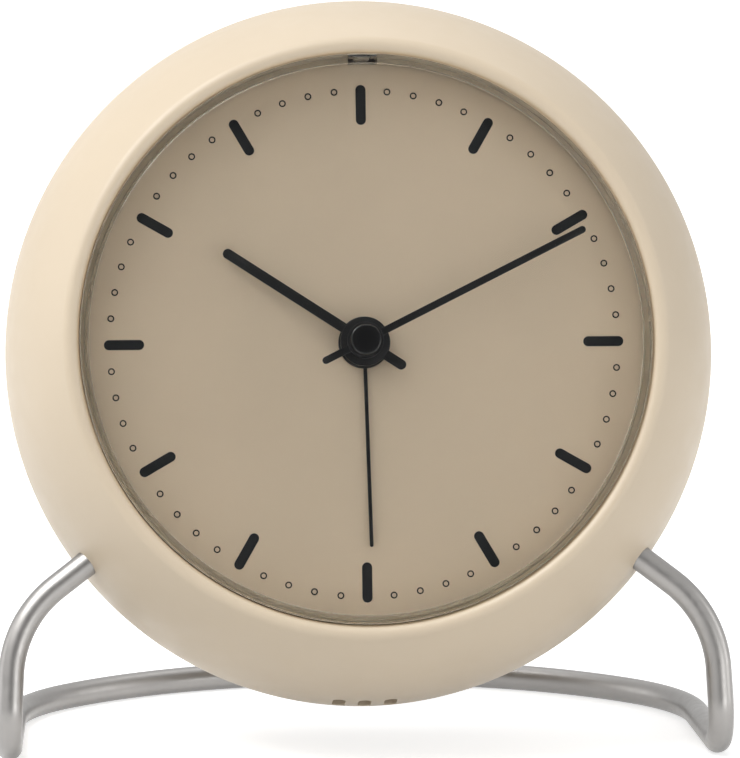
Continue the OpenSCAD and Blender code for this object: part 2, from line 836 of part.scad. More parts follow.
module alarm_hand() {
  color(black) head() rotate([0, 0, 90 - alarm_angle])
    hand(alarm_reach, 0, alarm_w, alarm_boss_r, alarm_tube_out, alarm_boss_z);
}

module hour_hand() {
  color(black) head() rotate([0, 0, 90 - hour_angle])
    hand(hour_reach, hand_tail, hour_w, hour_boss_r, hour_tube_out, hour_boss_z);
}

module minute_hand() {
  color(black) head() rotate([0, 0, 90 - minute_angle])
    hand(minute_reach, hand_tail, minute_w, minute_boss_r, arbor_r, minute_boss_z);
}

// Cap over the hub, with a rounded rim
module hub_cap() {
  color(black) head()
    rotate_extrude()
      difference() {
        union() {
          band(0, cap_r, cap_z, cap_z + cap_h - rim_r);
          band(0, cap_r - rim_r, cap_z, cap_z + cap_h);
          translate([cap_r - rim_r, cap_z + cap_h - rim_r]) circle(rim_r, $fn = 32);
        }
        band(0, arbor_r, cap_z - over, cap_z + cap_h / 2);
      }
}

// Lamp over twelve, in the reveal
module lamp_holder() {
  color(black) head() difference() {
    translate([-lamp_w / 2, lamp_front_y, lamp_base]) cube([lamp_w, lamp_depth, lamp_h]);
    translate([-lens_w / 2 - lamp_gap / 2, lamp_front_y - over, lamp_base + lamp_gap])
      cube([lens_w + lamp_gap, lens_depth - lens_proud + over, lamp_h - 2 * lamp_gap]);
  }
}

module lamp_lens() {
  color([0.75, 0.75, 0.72, 0.6]) head()
    translate([-lens_w / 2, lamp_front_y - lens_proud, lamp_base + lamp_gap])
      cube([lens_w, lens_depth, lamp_h - 2 * lamp_gap]);
}

// Stand: one wire, swept along its own middle line
module wire_stand() {
  sides = 24;
  last = (len(wire_path) - 1) * sides;
  points = [
    for (i = [0 : len(wire_path) - 1])
      let (n = wire_normals[i], m = cross(run_at(i), n))
        for (k = [0 : sides - 1])
          wire_path[i] + wire_r * (n * cos(k * 360 / sides) + m * sin(k * 360 / sides))
  ];
  walls = [
    for (i = [0 : len(wire_path) - 2], k = [0 : sides - 1])
      let (a = i * sides + k, b = i * sides + (k + 1) % sides)
        each [[a, b, a + sides], [b, b + sides, a + sides]]
  ];
  ends = [for (k = [1 : sides - 2]) each [[0, k + 1, k], [last, last + k, last + k + 1]]];
  color(steel) polyhedron(points, concat(walls, ends));
}

// Retaining clips on the wire's ends, behind the sockets
module stand_clips() {
  start = inner_r(leg_plane) - socket_l;
  color(steel) head() for (side = [-1, 1]) socket_at(side)
    difference() {
      tube(clip_r, wire_r, start - clip_t, start);
      translate([0, -wire_r / 2, start - clip_t - over]) cube([clip_r + over, wire_r, clip_t + 2 * over]);
    }
}

// Carrier behind the dial: holds the dial and the movement
module dial_carrier() {
  color(white_plastic) head() difference() {
    tube(carrier_r, bush_out + seat_gap, carrier_back, dial_back, $fn = 180);
    around(carrier_screw_angles, carrier_ring_r)
      rod(screw_r + control_gap, carrier_back - over, dial_back + over);
    for (p = lug_at) place(p) rod(screw_r, carrier_back - over, carrier_back + lug_thread_l);
  }
}

module screw(seat, reach) {
  rod(screw_head_r, seat - screw_head_t, seat);
  rod(screw_r, seat, reach);
}

// Cross recess in a screw's head
module screw_cross(seat) {
  cross_w = screw_head_r / 3;
  cross_l = screw_head_r * cross_share;
  for (a = [0, 90]) rotate([0, 0, a])
    slab(cross_l, cross_w, seat - screw_head_t - over, seat - screw_head_t / 2);
}

module carrier_screws() {
  color(steel) head() around(carrier_screw_angles, carrier_ring_r) difference() {
    screw(carrier_back, dial_back + carrier_thread_l - thread_spare);
    screw_cross(carrier_back);
  }
}

module case_screws() {
  seat = -seam_depth - sleeve_t;
  color(steel) head() around(case_screw_angles, post_ring_r) difference() {
    screw(seat, case_thread_l - seam_depth - thread_spare);
    screw_cross(seat);
  }
}

// Movement's halves
module move_box(z1, z2) {
  slab(move_w, move_w, z1, z2);
}

module move_room(z1, z2) {
  slab(move_w - 2 * move_wall, move_w - 2 * move_wall, z1, z2);
}

arbors = [third_at, fourth_at, fifth_at, rotor_at];
stems = [time_at, alarm_at];
stub_r = pivot_r * 2;

module movement_front() {
  color(grey_plastic) head() difference() {
    union() {
      difference() {
        move_box(move_seam, carrier_back);
        move_room(move_seam - over, front_plate);
      }
      rod(bush_out, front_plate, dial_depth + hand_gap / 4);
      place(minute_at)
        rod(stub_r, minute_wheel_z - layer_gap / 2, front_plate + move_wall / 2);
      for (p = lug_at) place(p) rod(lug_r, carrier_back - lug_t, carrier_back);
      for (s = [-1, 1], t = [-1, 1])
        translate([s * (move_w / 2 + lug_out / 2 - move_wall / 2), t * lug_y, 0])
          slab(lug_out + move_wall, lug_r, carrier_back - lug_t, carrier_back);
    }
    rod(bush_in, front_plate - over, dial_depth + boss_t);
    for (p = arbors) place(p) rod(pivot_r + run_gap, front_plate - over, front_plate + pivot_l);
    for (p = stems) place(p) rod(stem_r + run_gap, front_plate - over, front_plate + pivot_l);
    for (p = lug_at) place(p)
      rod(screw_r + control_gap, carrier_back - lug_t - over, carrier_back + over);
  }
}

// Posts that carry the board and the stator inside the rear half
board_posts = [
  [board_left + support_r, board_low + support_r],
  [board_left + support_r, board_low + board_len - support_r],
  [board_left + board_w - support_r, board_low + board_len - support_r]
];
stator_posts = [
  [coil_left - core_over / 2, arm_y],
  [rotor_at[0], rotor_at[1] - (stator_hole_r + stator_ring_r) / 2]
];

module movement_back() {
  color(grey_plastic) head() difference() {
    union() {
      difference() {
        move_box(move_back, move_seam);
        move_room(back_plate, move_seam + over);
      }
      for (p = board_posts) place(p) rod(support_r, back_plate - move_wall / 2, board_z);
      for (p = stator_posts) place(p) rod(support_r, back_plate - move_wall / 2, stator_z);
    }
    for (p = arbors) place(p) rod(pivot_r + run_gap, back_plate - pivot_l, back_plate + over);
    rod(arbor_r + run_gap, back_plate - pivot_l, back_plate + over);
    for (p = stems) place(p) rod(stem_r + run_gap, move_back - over, back_plate + over);
  }
}

module movement_screws() {
  color(steel) head() for (p = lug_at) place(p) difference() {
    screw(carrier_back - lug_t, carrier_back + lug_thread_l);
    screw_cross(carrier_back - lug_t);
  }
}

// Electronics
module circuit_board() {
  color(board_green) head()
    translate([board_left, board_low, board_z]) cube([board_w, board_len, board_t]);
}

module control_chip() {
  color(black) head() translate([board_left + board_w / 2, board_low + board_len / 2, 0])
    rotate_extrude() intersection() {
      band(0, chip_r, board_z + board_t, board_z + board_t + chip_t);
      translate([0, board_z + board_t + chip_t - chip_r * 2]) circle(chip_r * 2);
    }
}

module quartz_can() {
  color(steel) head()
    translate([board_left + board_w / 2, board_low + board_len * 2 / 3, board_z + board_t + can_r])
      rotate([-90, 0, 0]) cylinder(r = can_r, h = can_l);
}

// Leaf that the alarm work presses when the alarm is due
module alarm_contact() {
  z1 = board_z + board_t;
  lift = hour_wheel_z - layer_gap - contact_t - z1;
  color(brass) head()
    translate([board_left + board_w - contact_w, board_low + board_len / 3, z1]) {
      cube([contact_t, contact_w, lift]);
      translate([0, 0, lift - contact_t]) cube([contact_reach, contact_w, contact_t]);
      cube([contact_w, contact_w, contact_t]);
    }
}

// Coil, core, stator and rotor of the stepping motor
module along_coil(x) {
  translate([x, coil_y, stator_z + stator_t / 2]) rotate([0, 90, 0]) children();
}

module coil_bobbin() {
  color(white_plastic) head() difference() {
    union() {
      along_coil(coil_left) cylinder(r = bobbin_r, h = coil_len);
      for (x = [coil_left, coil_left + coil_len - flange_t])
        along_coil(x) cylinder(r = flange_r, h = flange_t);
    }
    translate([coil_left - over, coil_y - core_w / 2 - wall_fit, stator_z - wall_fit])
      cube([coil_len + 2 * over, core_w + 2 * wall_fit, stator_t + 2 * wall_fit]);
  }
}

module coil_winding() {
  color(copper) head() along_coil(coil_left + flange_t)
    tube(coil_r, bobbin_r, 0, coil_len - 2 * flange_t);
}

module coil_core() {
  color(steel) head()
    translate([coil_left - core_over, coil_y - core_w / 2, stator_z])
      cube([coil_len + 2 * core_over, core_w, stator_t]);
}

module stator() {
  arm_left = coil_left - core_over;
  core_end = coil_left + coil_len + core_over;
  color(steel) head() translate([0, 0, stator_z]) linear_extrude(stator_t)
    difference() {
      union() {
        translate(rotor_at) circle(stator_ring_r);
        translate([arm_left, arm_y - arm_w / 2]) square([rotor_at[0] - arm_left, arm_w]);
        translate([arm_left, coil_y + core_w / 2])
          square([core_over - flange_t, arm_y - coil_y - core_w / 2]);
        translate([core_end, coil_y - core_w / 2]) square([rotor_at[0] - core_end, core_w]);
      }
      translate(rotor_at) circle(stator_hole_r);
      translate(fifth_at) circle(stator_slot_r);
      translate([arm_left, coil_y - core_w / 2]) square([coil_len + 2 * core_over, core_w]);
    }
}

// Toothed wheel: six points to a tooth, in shares of its pitch
function tooth_points(teeth, mod) = [
  for (i = [0 : teeth - 1])
    for (k = [[-root_share, -dedendum_share], [-pitch_share, 0], [-tip_share, addendum_share],
              [tip_share, addendum_share], [pitch_share, 0], [root_share, -dedendum_share]])
      polar(teeth * mod / 2 + k[1] * mod, (i + k[0]) * 360 / teeth)
];

module gear(teeth, mod, z1, z2, phase) {
  translate([0, 0, z1]) rotate([0, 0, phase]) linear_extrude(z2 - z1) polygon(tooth_points(teeth, mod));
}

// Phase that puts a gap, or a tooth, towards a direction
function gap_to(dir, teeth) = dir + 180 / teeth;

module arbor(r) {
  rod(r, back_plate - pivot_l + run_gap, front_plate + pivot_l - run_gap);
}

// Holes in a wheel that lighten it
module lighten(teeth, mod, z, t) {
  holes = 4;
  for (i = [0 : holes - 1]) rotate([0, 0, i * 360 / holes])
    translate([ring_share * teeth * mod, 0, 0])
      rod(hole_share * teeth * mod / 2, z - over, z + t + over);
}

module train_wheel(teeth, mod, z, phase) {
  difference() {
    gear(teeth, mod, z, z + wheel_t, phase);
    lighten(teeth, mod, z, wheel_t);
  }
}

module train_pinion(teeth, mod, z, phase) {
  gear(teeth, mod, z - pinion_extra, z + wheel_t + pinion_extra, phase);
}

module rotor() {
  color([0.30, 0.30, 0.32]) head() place(rotor_at) {
    arbor(pivot_r);
    rod(magnet_r, stator_z + (stator_t - magnet_t) / 2, stator_z + (stator_t + magnet_t) / 2);
    train_pinion(rotor_pinion_teeth, train_mod, fifth_wheel_z, rotor_dir + 180);
  }
}

module fifth_wheel() {
  color(white_plastic) head() place(fifth_at) {
    arbor(pivot_r);
    train_wheel(fifth_teeth, train_mod, fifth_wheel_z, gap_to(rotor_dir, fifth_teeth));
    train_pinion(fifth_pinion_teeth, train_mod, fourth_wheel_z, fifth_dir + 180);
  }
}

module fourth_wheel() {
  color(white_plastic) head() place(fourth_at) {
    arbor(pivot_r);
    train_wheel(fourth_teeth, train_mod, fourth_wheel_z, gap_to(fifth_dir, fourth_teeth));
    train_pinion(fourth_pinion_teeth, third_mod, third_wheel_z, fourth_dir + 180);
  }
}

module third_wheel() {
  color(white_plastic) head() place(third_at) {
    arbor(pivot_r);
    train_wheel(third_teeth, third_mod, third_wheel_z, gap_to(fourth_dir, third_teeth));
    train_pinion(third_pinion_teeth, train_mod, centre_wheel_z, third_dir + 180);
  }
}

// Centre wheel: slips on the minute arbor when the hands are set
module centre_wheel() {
  color(brass) head() difference() {
    union() {
      train_wheel(centre_teeth, train_mod, centre_wheel_z, gap_to(third_dir, centre_teeth));
      rod(arbor_r * 2, centre_wheel_z - layer_gap, centre_wheel_z + wheel_t);
    }
    rod(arbor_r + run_gap, centre_wheel_z - layer_gap - over, centre_wheel_z + wheel_t + over);
  }
}

module minute_arbor() {
  color(steel) head() {
    rod(arbor_r, back_plate - pivot_l + run_gap, cap_z + cap_h / 2);
    gear(cannon_teeth, motion_mod,
      minute_wheel_z - pinion_extra, minute_wheel_z + motion_t + pinion_extra, minute_dir);
  }
}

module minute_wheel() {
  color(white_plastic) head() place(minute_at) difference() {
    union() {
      gear(minute_teeth, motion_mod, minute_wheel_z, minute_wheel_z + motion_t,
        gap_to(minute_dir, minute_teeth));
      gear(minute_pinion_teeth, hour_mod, minute_wheel_z + motion_t,
        hour_wheel_z + motion_t + pinion_extra, minute_dir + 180);
    }
    rod(stub_r + run_gap, minute_wheel_z - over, hour_wheel_z + motion_t + over);
  }
}

module hour_wheel() {
  color(white_plastic) head() difference() {
    union() {
      gear(hour_teeth, hour_mod, hour_wheel_z, hour_wheel_z + motion_t, gap_to(minute_dir, hour_teeth));
      rod(hour_tube_out, hour_wheel_z, hour_boss_z + boss_t);
    }
    rod(hour_tube_in, hour_wheel_z - over, hour_boss_z + boss_t + over);
  }
}

module alarm_wheel() {
  color(white_plastic) head() difference() {
    union() {
      gear(alarm_teeth, alarm_mod, alarm_wheel_z, alarm_wheel_z + motion_t,
        gap_to(alarm_dir, alarm_teeth));
      rod(alarm_tube_out, alarm_wheel_z, alarm_boss_z + boss_t);
    }
    rod(alarm_tube_in, alarm_wheel_z - over, alarm_boss_z + boss_t + over);
  }
}

// Setting stems with their pinions, and the knobs on them
module setting_stem(at, teeth, mod, z, phase) {
  place(at) {
    rod(stem_r, knob_face - knob_t / 2, front_plate + pivot_l - run_gap);
    gear(teeth, mod, z - pinion_extra, z + motion_t + pinion_extra, phase);
  }
}

module time_stem() {
  color(steel) head() setting_stem(time_at, cannon_teeth, motion_mod, minute_wheel_z, minute_dir + 180);
}

module alarm_stem() {
  color(steel) head()
    setting_stem(alarm_at, alarm_pinion_teeth, alarm_mod, alarm_wheel_z, alarm_dir + 180);
}

function knob_points(r) = [
  for (i = [0 : 2 * knob_flutes - 1])
    polar(r * (1 - (i % 2) * flute_share), i * 180 / knob_flutes)
];

module setting_knob(at) {
  place(at) difference() {
    translate([0, 0, knob_face - knob_t]) linear_extrude(knob_t) polygon(knob_points(knob_d / 2));
    rod(stem_r, knob_face - knob_t / 2, knob_face + over);
    rod(knob_d / 4, knob_face - knob_t - over, knob_face - knob_t + flute_share * knob_d);
  }
}

module time_knob() {
  color(sand) head() setting_knob(time_at);
}

module alarm_knob() {
  color(sand) head() setting_knob(alarm_at);
}

// Alarm on and off: a ribbed slider over a switch inside
module alarm_switch_slider() {
  color(black) head() translate([-switch_travel, switch_rise, 0]) {
    slab(thumb_w, thumb_h, -case_back - thumb_proud, plate_in + control_gap);
    slab(thumb_w + slide_flange, thumb_h + slide_flange,
      plate_in + control_gap, plate_in + control_gap + slide_flange_t);
    for (i = [0 : rib_count - 1])
      translate([(i - (rib_count - 1) / 2) * rib_pitch, 0, 0])
        slab(rib_w, thumb_h, -case_back - thumb_proud - rib_h, -case_back - thumb_proud);
  }
}

module alarm_switch_body() {
  room_w = thumb_w + slide_flange + 2 * (switch_travel + control_gap);
  room_h = thumb_h + slide_flange + 2 * control_gap;
  color(grey_plastic) head() translate([0, switch_rise, 0]) difference() {
    slab(room_w + 2 * switch_wall, room_h + 2 * switch_wall, plate_in, plate_in + switch_deep);
    slab(room_w, room_h, plate_in - over, plate_in + slide_flange_t + 2 * control_gap);
  }
}

// Snooze and light: a wide button over its switch
module snooze_button() {
  color(sand) head() translate([0, button_rise, 0]) {
    slab(button_w, button_h, -case_back - button_proud, plate_in + control_gap);
    slab(button_w + 2 * button_flange, button_h + button_flange,
      plate_in + control_gap, plate_in + control_gap + button_flange_t);
    rod(button_post_r, plate_in, plate_in + control_gap + button_flange_t + button_travel);
  }
}

module snooze_switch() {
  room_w = button_w + 2 * (button_flange + control_gap);
  room_h = button_h + button_flange + 2 * control_gap;
  room_t = button_flange_t + button_travel + 2 * control_gap;
  color(grey_plastic) head() translate([0, button_rise, 0]) difference() {
    slab(room_w + 2 * switch_wall, room_h + switch_wall, plate_in, plate_in + snooze_deep);
    slab(room_w, room_h, plate_in - over, plate_in + room_t);
    rod(button_post_r + control_gap, plate_in,
      plate_in + room_t + button_travel + control_gap);
  }
}

// Sounder behind the slots: a hollow case with a disc in it
module sounder_place() {
  translate([0, 0, sounder_z]) rotate([90, 0, 0]) children();
}

module sounder_case() {
  color(black) head() sounder_place() difference() {
    rod(sounder_r, sounder_top - sounder_t, sounder_top);
    rod(sounder_r - sounder_wall, sounder_top - sounder_t + sounder_wall, sounder_top - sounder_wall);
    rod(sounder_hole_r, sounder_top - 2 * sounder_wall, sounder_top + over);
  }
}

module sounder_disc() {
  z1 = sounder_top - sounder_t + sounder_wall;
  color(brass) head() sounder_place() rod(sounder_r - sounder_wall, z1, z1 + sounder_disc_t);
}

// Battery, its contacts and its door
module along_bay(x) {
  translate([x, bay_y, cell_z]) rotate([0, 90, 0]) children();
}

module battery() {
  color([0.20, 0.22, 0.24]) head() {
    along_bay(cell_left) cylinder(r = cell_d / 2, h = cell_l);
    along_bay(cell_left + cell_l) cylinder(r = nub_d / 2, h = nub_l);
  }
}

module plus_contact() {
  color(brass) head()
    translate([bay_right - contact_plate_t, bay_y - plate_w / 2, cell_z - plate_w / 2])
      cube([contact_plate_t, plate_w, plate_w]);
}

// Coil spring: one tube swept along a cone's helix, and its least gap to itself
function coil_point(t) = [
  spring_h * t,
  coil_radius(t) * cos(360 * spring_turns * t),
  coil_radius(t) * sin(360 * spring_turns * t)
];
function coil_radius(t) = spring_r_big + (spring_r_small - spring_r_big) * t;
coil_rings = spring_turns * spring_rings;
function coil_section(k) =
  let (
    t = k / coil_rings,
    a = 360 * spring_turns * t,
    out = [0, cos(a), sin(a)],
    lead = spring_h / (2 * PI * spring_turns * coil_radius(t)),
    run = unit([lead, -sin(a), cos(a)]),
    side = cross(run, out)
  ) [
    for (i = [0 : spring_sides - 1])
      coil_point(t) + (out * cos(i * 360 / spring_sides) + side * sin(i * 360 / spring_sides))
        * spring_wire_d / 2
  ];

module minus_spring() {
  points = [for (k = [0 : coil_rings]) each coil_section(k)];
  sides = spring_sides;
  last = coil_rings * sides;
  walls = [
    for (k = [0 : coil_rings - 1], i = [0 : sides - 1])
      let (a = k * sides + i, b = k * sides + (i + 1) % sides)
        each [[a, b, a + sides], [b, b + sides, a + sides]]
  ];
  ends = [
    for (i = [1 : sides - 2]) each [[0, i + 1, i], [last, last + i, last + i + 1]]
  ];
  apart = [
    for (j = [0 : coil_rings], k = [j + spring_rings / 2 : 1 : coil_rings])
      norm(coil_point(j / coil_rings) - coil_point(k / coil_rings))
  ];
  echo("least gap of the coil spring to itself", min(apart) - spring_wire_d);
  color(steel) head()
    translate([spring_wire_d / 2 - bay_right, bay_y, cell_z])
      polyhedron(points, concat(walls, ends), convexity = 10);
}

module battery_door() {
  door_len = bay_len + 2 * (door_ledge - door_gap);
  door_high = 2 * (bay_half + door_ledge - door_gap);
  color(sand) head() difference() {
    union() {
      translate([0, bay_y, 0]) slab(door_len, door_high, door_z, door_z + door_t);
      for (s = [-1, 1]) translate([s * bay_right, bay_y, 0])
        slab(door_lug_t, lug_w, door_z, door_z + door_t + door_lug_l);
    }
    translate([door_len / 2 - 2 * door_ledge, bay_y, door_z - over])
      cylinder(r = door_notch_r, h = door_notch_depth + over);
  }
}

case_ring();
rear_cover();
crystal();
crystal_gasket();
dial();
dial_marks();
alarm_hand();
hour_hand();
minute_hand();
hub_cap();
lamp_holder();
lamp_lens();
wire_stand();
stand_clips();
dial_carrier();
carrier_screws();
case_screws();
movement_front();
movement_back();
movement_screws();
circuit_board();
control_chip();
quartz_can();
alarm_contact();
coil_bobbin();
coil_winding();
coil_core();
stator();
rotor();
fifth_wheel();
fourth_wheel();
third_wheel();
centre_wheel();
minute_arbor();
minute_wheel();
hour_wheel();
alarm_wheel();
time_stem();
time_knob();
alarm_stem();
alarm_knob();
alarm_switch_slider();
alarm_switch_body();
snooze_button();
snooze_switch();
sounder_case();
sounder_disc();
battery();
plus_contact();
minus_spring();
battery_door();
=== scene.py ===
"""Round table alarm clock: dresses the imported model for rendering.

Laid out as an add-on. Each operator makes one piece, or a group of like
pieces, from the sizes and colours in the scene's clock settings. Pieces of
the head are modelled in the dial's frame (x right, y towards twelve, z out
of the dial) and then moved to their place on the stand.
"""

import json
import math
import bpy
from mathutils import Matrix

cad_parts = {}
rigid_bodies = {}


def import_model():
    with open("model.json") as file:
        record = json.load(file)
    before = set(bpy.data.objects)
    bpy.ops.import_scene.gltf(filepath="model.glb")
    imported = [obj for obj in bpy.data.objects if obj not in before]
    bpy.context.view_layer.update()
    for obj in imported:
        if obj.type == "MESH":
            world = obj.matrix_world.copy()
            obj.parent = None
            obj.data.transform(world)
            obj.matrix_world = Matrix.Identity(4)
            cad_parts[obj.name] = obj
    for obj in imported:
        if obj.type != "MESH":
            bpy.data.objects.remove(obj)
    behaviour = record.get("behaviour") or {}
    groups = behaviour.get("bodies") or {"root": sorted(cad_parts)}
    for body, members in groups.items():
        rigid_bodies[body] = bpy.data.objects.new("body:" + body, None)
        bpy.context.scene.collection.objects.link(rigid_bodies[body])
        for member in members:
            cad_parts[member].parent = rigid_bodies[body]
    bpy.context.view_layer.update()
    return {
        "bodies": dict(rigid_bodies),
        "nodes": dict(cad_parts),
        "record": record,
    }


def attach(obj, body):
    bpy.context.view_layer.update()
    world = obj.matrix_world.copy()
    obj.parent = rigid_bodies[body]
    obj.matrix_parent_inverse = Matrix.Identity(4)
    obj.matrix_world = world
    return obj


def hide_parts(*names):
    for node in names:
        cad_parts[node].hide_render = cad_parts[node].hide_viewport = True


bl_info = {
    "name": "Round Alarm Clock",
    "version": (1, 0, 0),
    "blender": (4, 5, 0),
    "location": "3D Viewport > Sidebar > Clock",
    "description": "Models and dresses a round alarm clock on a wire stand",
    "category": "Object",
}

import bmesh
import bpy
from bpy.props import FloatProperty, FloatVectorProperty, IntProperty, PointerProperty
from mathutils import Matrix, Vector

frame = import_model()

MM = 0.001

# Places behind the dial in its frame, in millimetres: the two knobs and the battery's middle
TIME_KNOB = (10.3923, 6.0)
ALARM_KNOB = (-6.755, 3.9)
BATTERY_Y, BATTERY_Z = -20, -16.8
# Lamp in the top of the reveal: lowest, highest, and its nearest edge to the dial's middle
LAMP_LOW, LAMP_HIGH, LAMP_NEAR = 15.6, 21.2, 43.7
# Heights of the crystal's skirt, its inner face and its front, in millimetres
CRYSTAL_FOOT, CRYSTAL_UNDER, CRYSTAL_TOP = 15.5, 22.18, 23.38
# Small chamfer along a turned piece's edge, and the degrees that it takes of the case's side
CHAMFER, CHAMFER_ANGLE = 0.12 * MM, 0.2
# Turns the dial's axis to point along x
ALONG_X = Matrix.Rotation(math.pi / 2, 4, "Y")


# Settings that a user would change


def length(name, description, millimetres):
    """A length in metres, written in millimetres."""
    return FloatProperty(
        name=name, description=description, default=millimetres * MM, unit="LENGTH", precision=5
    )


def angle(name, description, degrees):
    """An angle in radians, written in degrees."""
    return FloatProperty(
        name=name, description=description, default=math.radians(degrees), unit="ROTATION"
    )


def colour(name, description, value):
    """A plain colour in linear values."""
    return FloatVectorProperty(
        name=name, description=description, default=value, subtype="COLOR", min=0, max=1
    )


class CLOCK_PG_sizes(bpy.types.PropertyGroup):
    """Sizes of the clock's shown pieces"""

    case_r: length("Case radius", "Radius of the case at its widest", 55)
    side_r: length("Side radius", "Radius of the curve across the case's side", 36)
    wall: length("Wall", "Thickness of the case's wall", 2.4)
    bore_r: length("Bore radius", "Radius of the bore inside the lip", 44.05)
    roll_r: length("Lip radius", "Radius of the rolled lip", 1.5)
    reveal_wall: length("Reveal wall", "Wall between dial space and case", 2)
    seam: length("Seam", "Depth of the seam between the two shells", 14)
    back: length("Back", "Depth of the flat back", 26)
    back_edge_r: length("Back edge", "Radius of the edge round the back", 3)
    back_wall: length("Back wall", "Thickness of the flat back", 2.2)
    dial_front: length("Dial", "Height of the dial's face", 15)
    head_height: length("Head height", "Height of the case's centre", 61)
    head_back: length("Head place", "Place of the case's centre along Y", -8.08215)
    tilt: angle("Tilt", "Angle that the head leans back", 14)
    turn_steps: IntProperty(
        name="Steps round", description="Faces round the case", default=240, min=48, max=360
    )
    wire_r: length("Wire radius", "Radius of the stand's wire", 2)
    leg_plane: length("Leg plane", "Height of the legs before the dial's frame", 7.5)
    leg_angle: angle("Leg angle", "Angle of a leg's end under the dial's middle", 37.6)


class CLOCK_PG_colours(bpy.types.PropertyGroup):
    """Colours of the clock's finishes"""

    case: colour("Case", "Moulded case", (0.575, 0.480, 0.358))
    dial: colour("Dial", "Lacquered dial", (0.810, 0.655, 0.475))
    ink: colour("Ink", "Printed marks", (0.012, 0.013, 0.015))
    hands: colour("Hands", "Lacquered hands", (0.010, 0.010, 0.011))
    steel: colour("Steel", "Satin steel of the stand", (0.300, 0.290, 0.280))
    gasket: colour("Gasket", "Gasket under the crystal", (0.030, 0.014, 0.008))


# Small steps of modelling by hand


def clear_selection():
    """Leaves edit mode and selects nothing."""
    if bpy.context.object and bpy.context.object.mode != "OBJECT":
        bpy.ops.object.mode_set(mode="OBJECT")
    bpy.ops.object.select_all(action="DESELECT")


def edit(select=None):
    """Enters edit mode, and selects everything there as vertices, edges or faces if asked."""
    bpy.ops.object.mode_set(mode="EDIT")
    if select:
        bpy.ops.mesh.select_mode(type=select)
        bpy.ops.mesh.select_all(action="SELECT")


def rest():
    """Leaves edit mode."""
    bpy.ops.object.mode_set(mode="OBJECT")


def activate(piece):
    """Selects one piece and makes it the active one."""
    clear_selection()
    piece.select_set(True)
    bpy.context.view_layer.objects.active = piece


def select_where(piece, kind, test):
    """Selects in edit mode the vertices, edges or faces that pass a test."""
    mode = {"verts": "VERT", "edges": "EDGE", "faces": "FACE"}[kind]
    bpy.ops.mesh.select_mode(type=mode)
    mesh = bmesh.from_edit_mesh(piece.data)
    for group in (mesh.verts, mesh.edges, mesh.faces):
        for item in group:
            item.select_set(False)
    for item in getattr(mesh, kind):
        if test(item):
            item.select_set(True)
    mesh.select_flush_mode()
    bmesh.update_edit_mesh(piece.data)


def start_outline(name, r, z):
    """One vertex at a radius and height, in edit mode, to extrude an outline from."""
    clear_selection()
    bpy.ops.mesh.primitive_plane_add(size=MM, location=(r, 0, z))
    piece = bpy.context.object
    piece.name = name
    bpy.ops.object.transform_apply(location=True)
    edit("VERT")
    bpy.ops.mesh.merge(type="CENTER")
    return piece


def run_to(piece, r, z):
    """Extrudes the outline's last vertex to a radius and height."""
    mesh = bmesh.from_edit_mesh(piece.data)
    last = next(v for v in mesh.verts if v.select)
    step = Vector((r, 0, z)) - last.co
    bpy.ops.mesh.extrude_vertices_move(TRANSFORM_OT_translate={"value": step})


def spin(steps, angle, centre, axis):
    """Spins what is selected; a positive angle turns by the right-hand rule."""
    bpy.ops.mesh.spin(steps=steps, angle=-angle, center=centre, axis=axis)


def push(step):
    """Extrudes what is selected along a step."""
    bpy.ops.mesh.extrude_region_move(TRANSFORM_OT_translate={"value": step})


def bend_round(centre_r, centre_z, degrees, steps):
    """Spins the outline's last vertex round a centre in the outline's plane."""
    spin(steps, math.radians(degrees), (centre_r, 0, centre_z), (0, -1, 0))


def close_outline():
    """Joins the outline's two ends."""
    mesh = bmesh.from_edit_mesh(bpy.context.object.data)
    for v in mesh.verts:
        v.select_set(len(v.link_edges) == 1)
    mesh.select_flush_mode()
    bmesh.update_edit_mesh(bpy.context.object.data)
    bpy.ops.mesh.edge_face_add()


def turn(steps):
    """Spins the whole outline once round the dial's axis and closes it."""
    bpy.ops.mesh.select_all(action="SELECT")
    spin(steps, math.tau, (0, 0, 0), (0, 0, 1))
    mend()


def mend():
    """Merges doubles and points all faces outwards, then leaves edit mode."""
    bpy.ops.mesh.select_all(action="SELECT")
    bpy.ops.mesh.remove_doubles(threshold=2e-6)
    bpy.ops.mesh.select_all(action="SELECT")
    bpy.ops.mesh.normals_make_consistent(inside=False)
    rest()


def rod(name, r, low, high, at=(0, 0), sides=64):
    """Round bar along the dial's axis, in millimetres."""
    z1, z2 = low * MM, high * MM
    clear_selection()
    bpy.ops.mesh.primitive_cylinder_add(
        vertices=sides,
        radius=r * MM,
        depth=z2 - z1,
        location=(at[0] * MM, at[1] * MM, (z1 + z2) / 2),
    )
    piece = bpy.context.object
    piece.name = name
    bpy.ops.object.transform_apply(location=True)
    return piece


def block(name, x, y, z, round_r=0, round_steps=3):
    """Box from three pairs of millimetres, its edges rounded."""
    (x1, x2), (y1, y2), (z1, z2) = [(low * MM, high * MM) for low, high in (x, y, z)]
    clear_selection()
    bpy.ops.mesh.primitive_cube_add(
        size=1, location=((x1 + x2) / 2, (y1 + y2) / 2, (z1 + z2) / 2)
    )
    piece = bpy.context.object
    piece.name = name
    piece.scale = (x2 - x1, y2 - y1, z2 - z1)
    bpy.ops.object.transform_apply(location=True, scale=True)
    if round_r:
        edit("EDGE")
        bpy.ops.mesh.bevel(offset=round_r * MM, segments=round_steps, affect="EDGES")
        rest()
    return piece


def join(pieces, name):
    """Joins pieces into the first one."""
    clear_selection()
    for piece in pieces:
        piece.select_set(True)
    bpy.context.view_layer.objects.active = pieces[0]
    bpy.ops.object.join()
    pieces[0].name = name
    return pieces[0]


def check_faces(piece):
    """Stops the script where a step left a piece without faces."""
    if not piece.data.polygons:
        raise RuntimeError(f"{piece.name} has no faces left")


